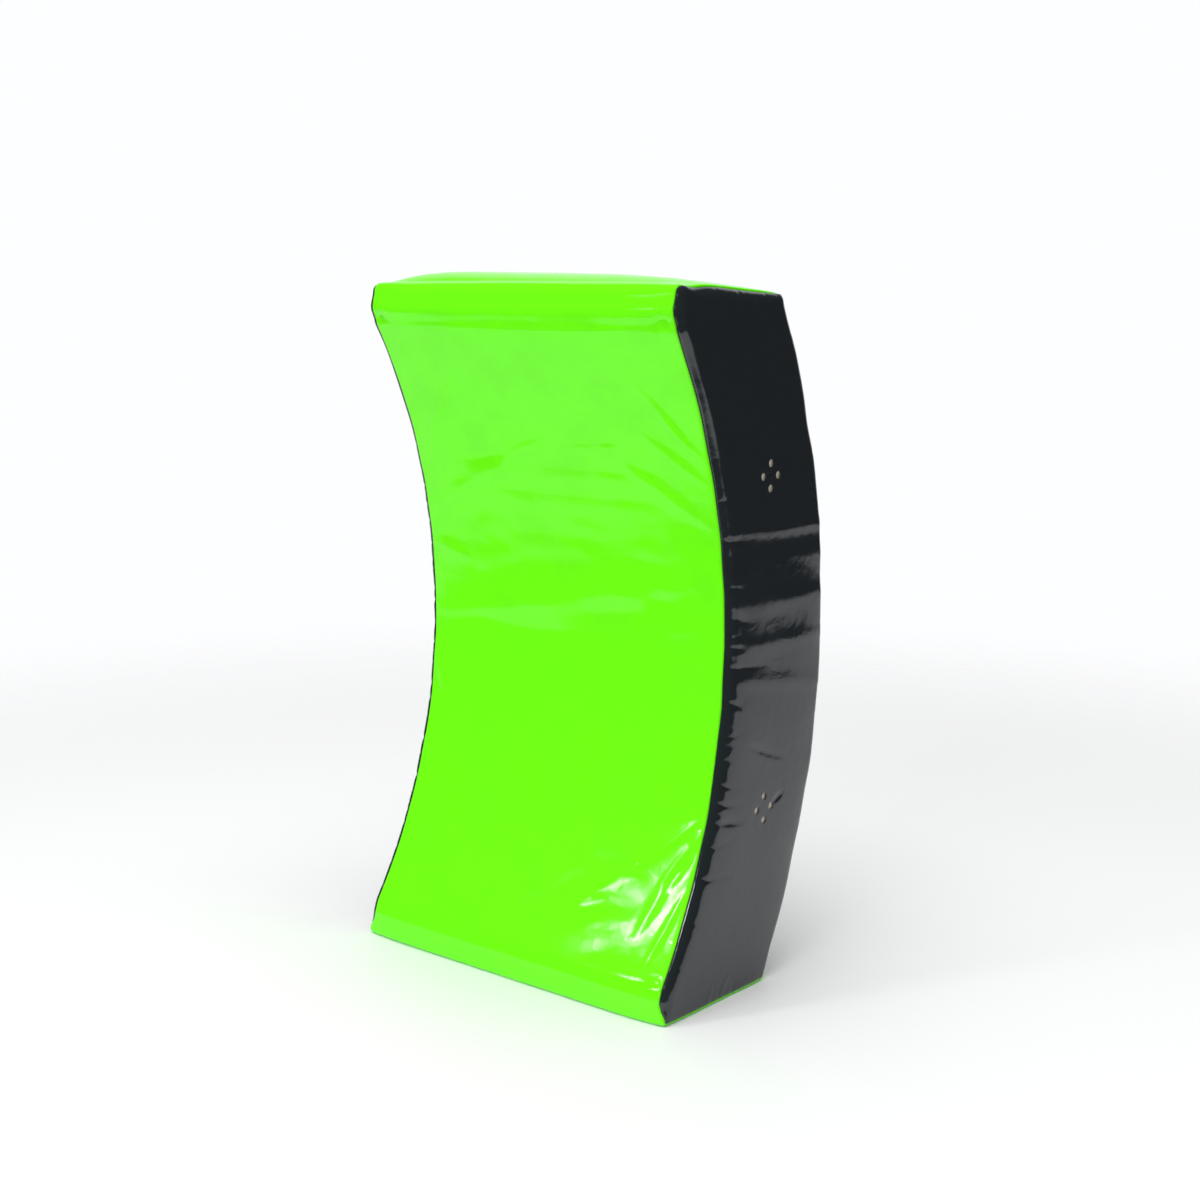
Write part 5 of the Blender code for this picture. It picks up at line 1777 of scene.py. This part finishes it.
def floor_paper():
    """Pale paper, which the camera sees melt into the white room with distance."""
    material, tree, shader, place = new_material("floor_paper")
    shader.inputs["Base Color"].default_value = (0.90, 0.905, 0.91, 1.0)
    shader.inputs["Roughness"].default_value = 0.55
    away = add_node(tree, "ShaderNodeVectorMath", {0: place}, operation="LENGTH")
    fade = add_node(tree, "ShaderNodeMapRange", {"Value": away.outputs["Value"], "From Min": FADE_FROM,
                                                 "From Max": FADE_TO}, interpolation_type="SMOOTHSTEP")
    path = add_node(tree, "ShaderNodeLightPath")
    seen = math(tree, "MULTIPLY", fade.outputs["Result"], path.outputs["Is Camera Ray"])
    clear = add_node(tree, "ShaderNodeBsdfTransparent")
    mix = add_node(tree, "ShaderNodeMixShader", {"Fac": seen, 1: shader.outputs["BSDF"],
                                                 2: clear.outputs["BSDF"]})
    tree.links.new(mix.outputs["Shader"], tree.nodes["Material Output"].inputs["Surface"])
    return material


def lay_floor():
    """The pale sweep that reflections show, and beyond it more floor, which only the camera sees."""
    material = floor_paper()
    corners = [(x, y, 0.0) for x, y in SWEEP]
    around = [(FLOOR_REACH * x, FLOOR_REACH * y, 0.0) for x, y in ((-1, -1), (1, -1), (1, 1), (-1, 1))]
    beyond = [(4, 5, 1, 0), (5, 6, 2, 1), (6, 7, 3, 2), (7, 4, 0, 3)]
    for name, points, faces in (("floor_sweep", corners, [(0, 1, 2, 3)]),
                                ("floor_beyond", corners + around, beyond)):
        mesh = mesh_of(name, points, faces)
        mesh.materials.append(material)
        floor = new_thing(name, mesh)
        floor.location.z = FLOOR_LEVEL
        floor.visible_glossy = name == "floor_sweep"


# Where the one bright wall of the reflected room stands, and where its light starts and ends,
# as the cosine of the angle to it
WALL_WAY = (-0.645, 0.764, 0.0)
WALL_FROM, WALL_TO = 0.60, 0.80
ROOM_DARK = 0.035
ROOM_SOFT = 0.62


def light_room(scene):
    """White to the camera, and to reflections a dark room with one bright wall."""
    scene.world = bpy.data.worlds.new("room")
    scene.world.use_nodes = True
    tree = scene.world.node_tree
    tree.nodes.clear()
    path = add_node(tree, "ShaderNodeLightPath")
    place = add_node(tree, "ShaderNodeTexCoord")
    toward = add_node(tree, "ShaderNodeVectorMath", {0: place.outputs["Generated"], 1: WALL_WAY},
                      operation="DOT_PRODUCT")
    wall = add_node(tree, "ShaderNodeMapRange", {
        "Value": toward.outputs["Value"], "From Min": WALL_FROM, "From Max": WALL_TO,
        "To Min": ROOM_DARK, "To Max": 1.0}, interpolation_type="SMOOTHSTEP")
    seen = add_node(tree, "ShaderNodeBackground", {"Color": (0.985, 0.99, 1.0, 1.0)})
    glossy = add_node(tree, "ShaderNodeBackground", {"Strength": wall.outputs["Result"]})
    soft = add_node(tree, "ShaderNodeBackground", {"Strength": ROOM_SOFT})
    shown = soft.outputs["Background"]
    for ray, other in (("Is Glossy Ray", glossy), ("Is Camera Ray", seen)):
        mix = add_node(tree, "ShaderNodeMixShader", {"Fac": path.outputs[ray], 1: shown,
                                                     2: other.outputs["Background"]})
        shown = mix.outputs["Shader"]
    add_node(tree, "ShaderNodeOutputWorld", {"Surface": shown})


def add_lamp(name, place, aim, size, power, reflected=False):
    """A square soft light. Only the key shows in reflections."""
    data = bpy.data.lights.new(name, "AREA")
    data.size = size
    data.energy = power
    lamp = new_thing(name, data)
    lamp.visible_glossy = reflected
    looking(lamp, place, aim)
    return data


def light_pad(studio):
    """The key light, from the front's left to the foot, and two soft lights from above and in front."""
    key = add_lamp("key", studio.key_place, (0.14, -0.06, 0.06), 0.4, studio.key_power, reflected=True)
    key.spread = studio.key_spread
    pad_middle = (0.0, 0.0, 0.38)
    add_lamp("overhead", (0.0, -0.2, 3.2), pad_middle, 3.0, 80.0)
    add_lamp("fill", (0.3, -3.0, 1.4), pad_middle, 2.0, 30.0)


class TACKLEPAD_OT_studio(bpy.types.Operator):
    """Make the camera, the pale floor, the room and the lights"""
    bl_idname = "tacklepad.studio"
    bl_label = "Studio"

    def execute(self, context):
        studio = context.scene.tacklepad_studio
        place_camera(context.scene, studio)
        lay_floor()
        light_room(context.scene)
        light_pad(studio)
        context.scene.view_settings.view_transform = "Standard"
        return {"FINISHED"}


OPERATORS = (TACKLEPAD_OT_form, TACKLEPAD_OT_cover, TACKLEPAD_OT_foam, TACKLEPAD_OT_zip,
             TACKLEPAD_OT_handles, TACKLEPAD_OT_stitches, TACKLEPAD_OT_studio)


GROUPS = {"tacklepad_form": TacklePadForm, "tacklepad_cloth": TacklePadCloth,
          "tacklepad_handles": TacklePadHandles, "tacklepad_studio": TacklePadStudio}


class TACKLEPAD_PT_sidebar(bpy.types.Panel):
    """Sizes of the tackle pad, and a button for each group of its pieces"""
    bl_idname = "TACKLEPAD_PT_sidebar"
    bl_label = "Tackle pad"
    bl_space_type = "VIEW_3D"
    bl_region_type = "UI"
    bl_category = "Tackle pad"

    def draw(self, context):
        for operator in OPERATORS:
            self.layout.operator(operator.bl_idname)
        for name, group in GROUPS.items():
            column = self.layout.column(align=True)
            for label in group.__annotations__:
                column.prop(getattr(context.scene, name), label)


CLASSES = (*GROUPS.values(), *OPERATORS, TACKLEPAD_PT_sidebar)


def register():
    for known in CLASSES:
        bpy.utils.register_class(known)
    for name, group in GROUPS.items():
        setattr(bpy.types.Scene, name, PointerProperty(type=group))


def unregister():
    for name in GROUPS:
        delattr(bpy.types.Scene, name)
    for known in reversed(CLASSES):
        bpy.utils.unregister_class(known)


def main():
    register()
    bpy.ops.tacklepad.form()
    bpy.ops.tacklepad.cover()
    bpy.ops.tacklepad.foam()
    bpy.ops.tacklepad.zip()
    bpy.ops.tacklepad.handles()
    bpy.ops.tacklepad.stitches()
    bpy.ops.tacklepad.studio()


if __name__ == "__main__":
    main()
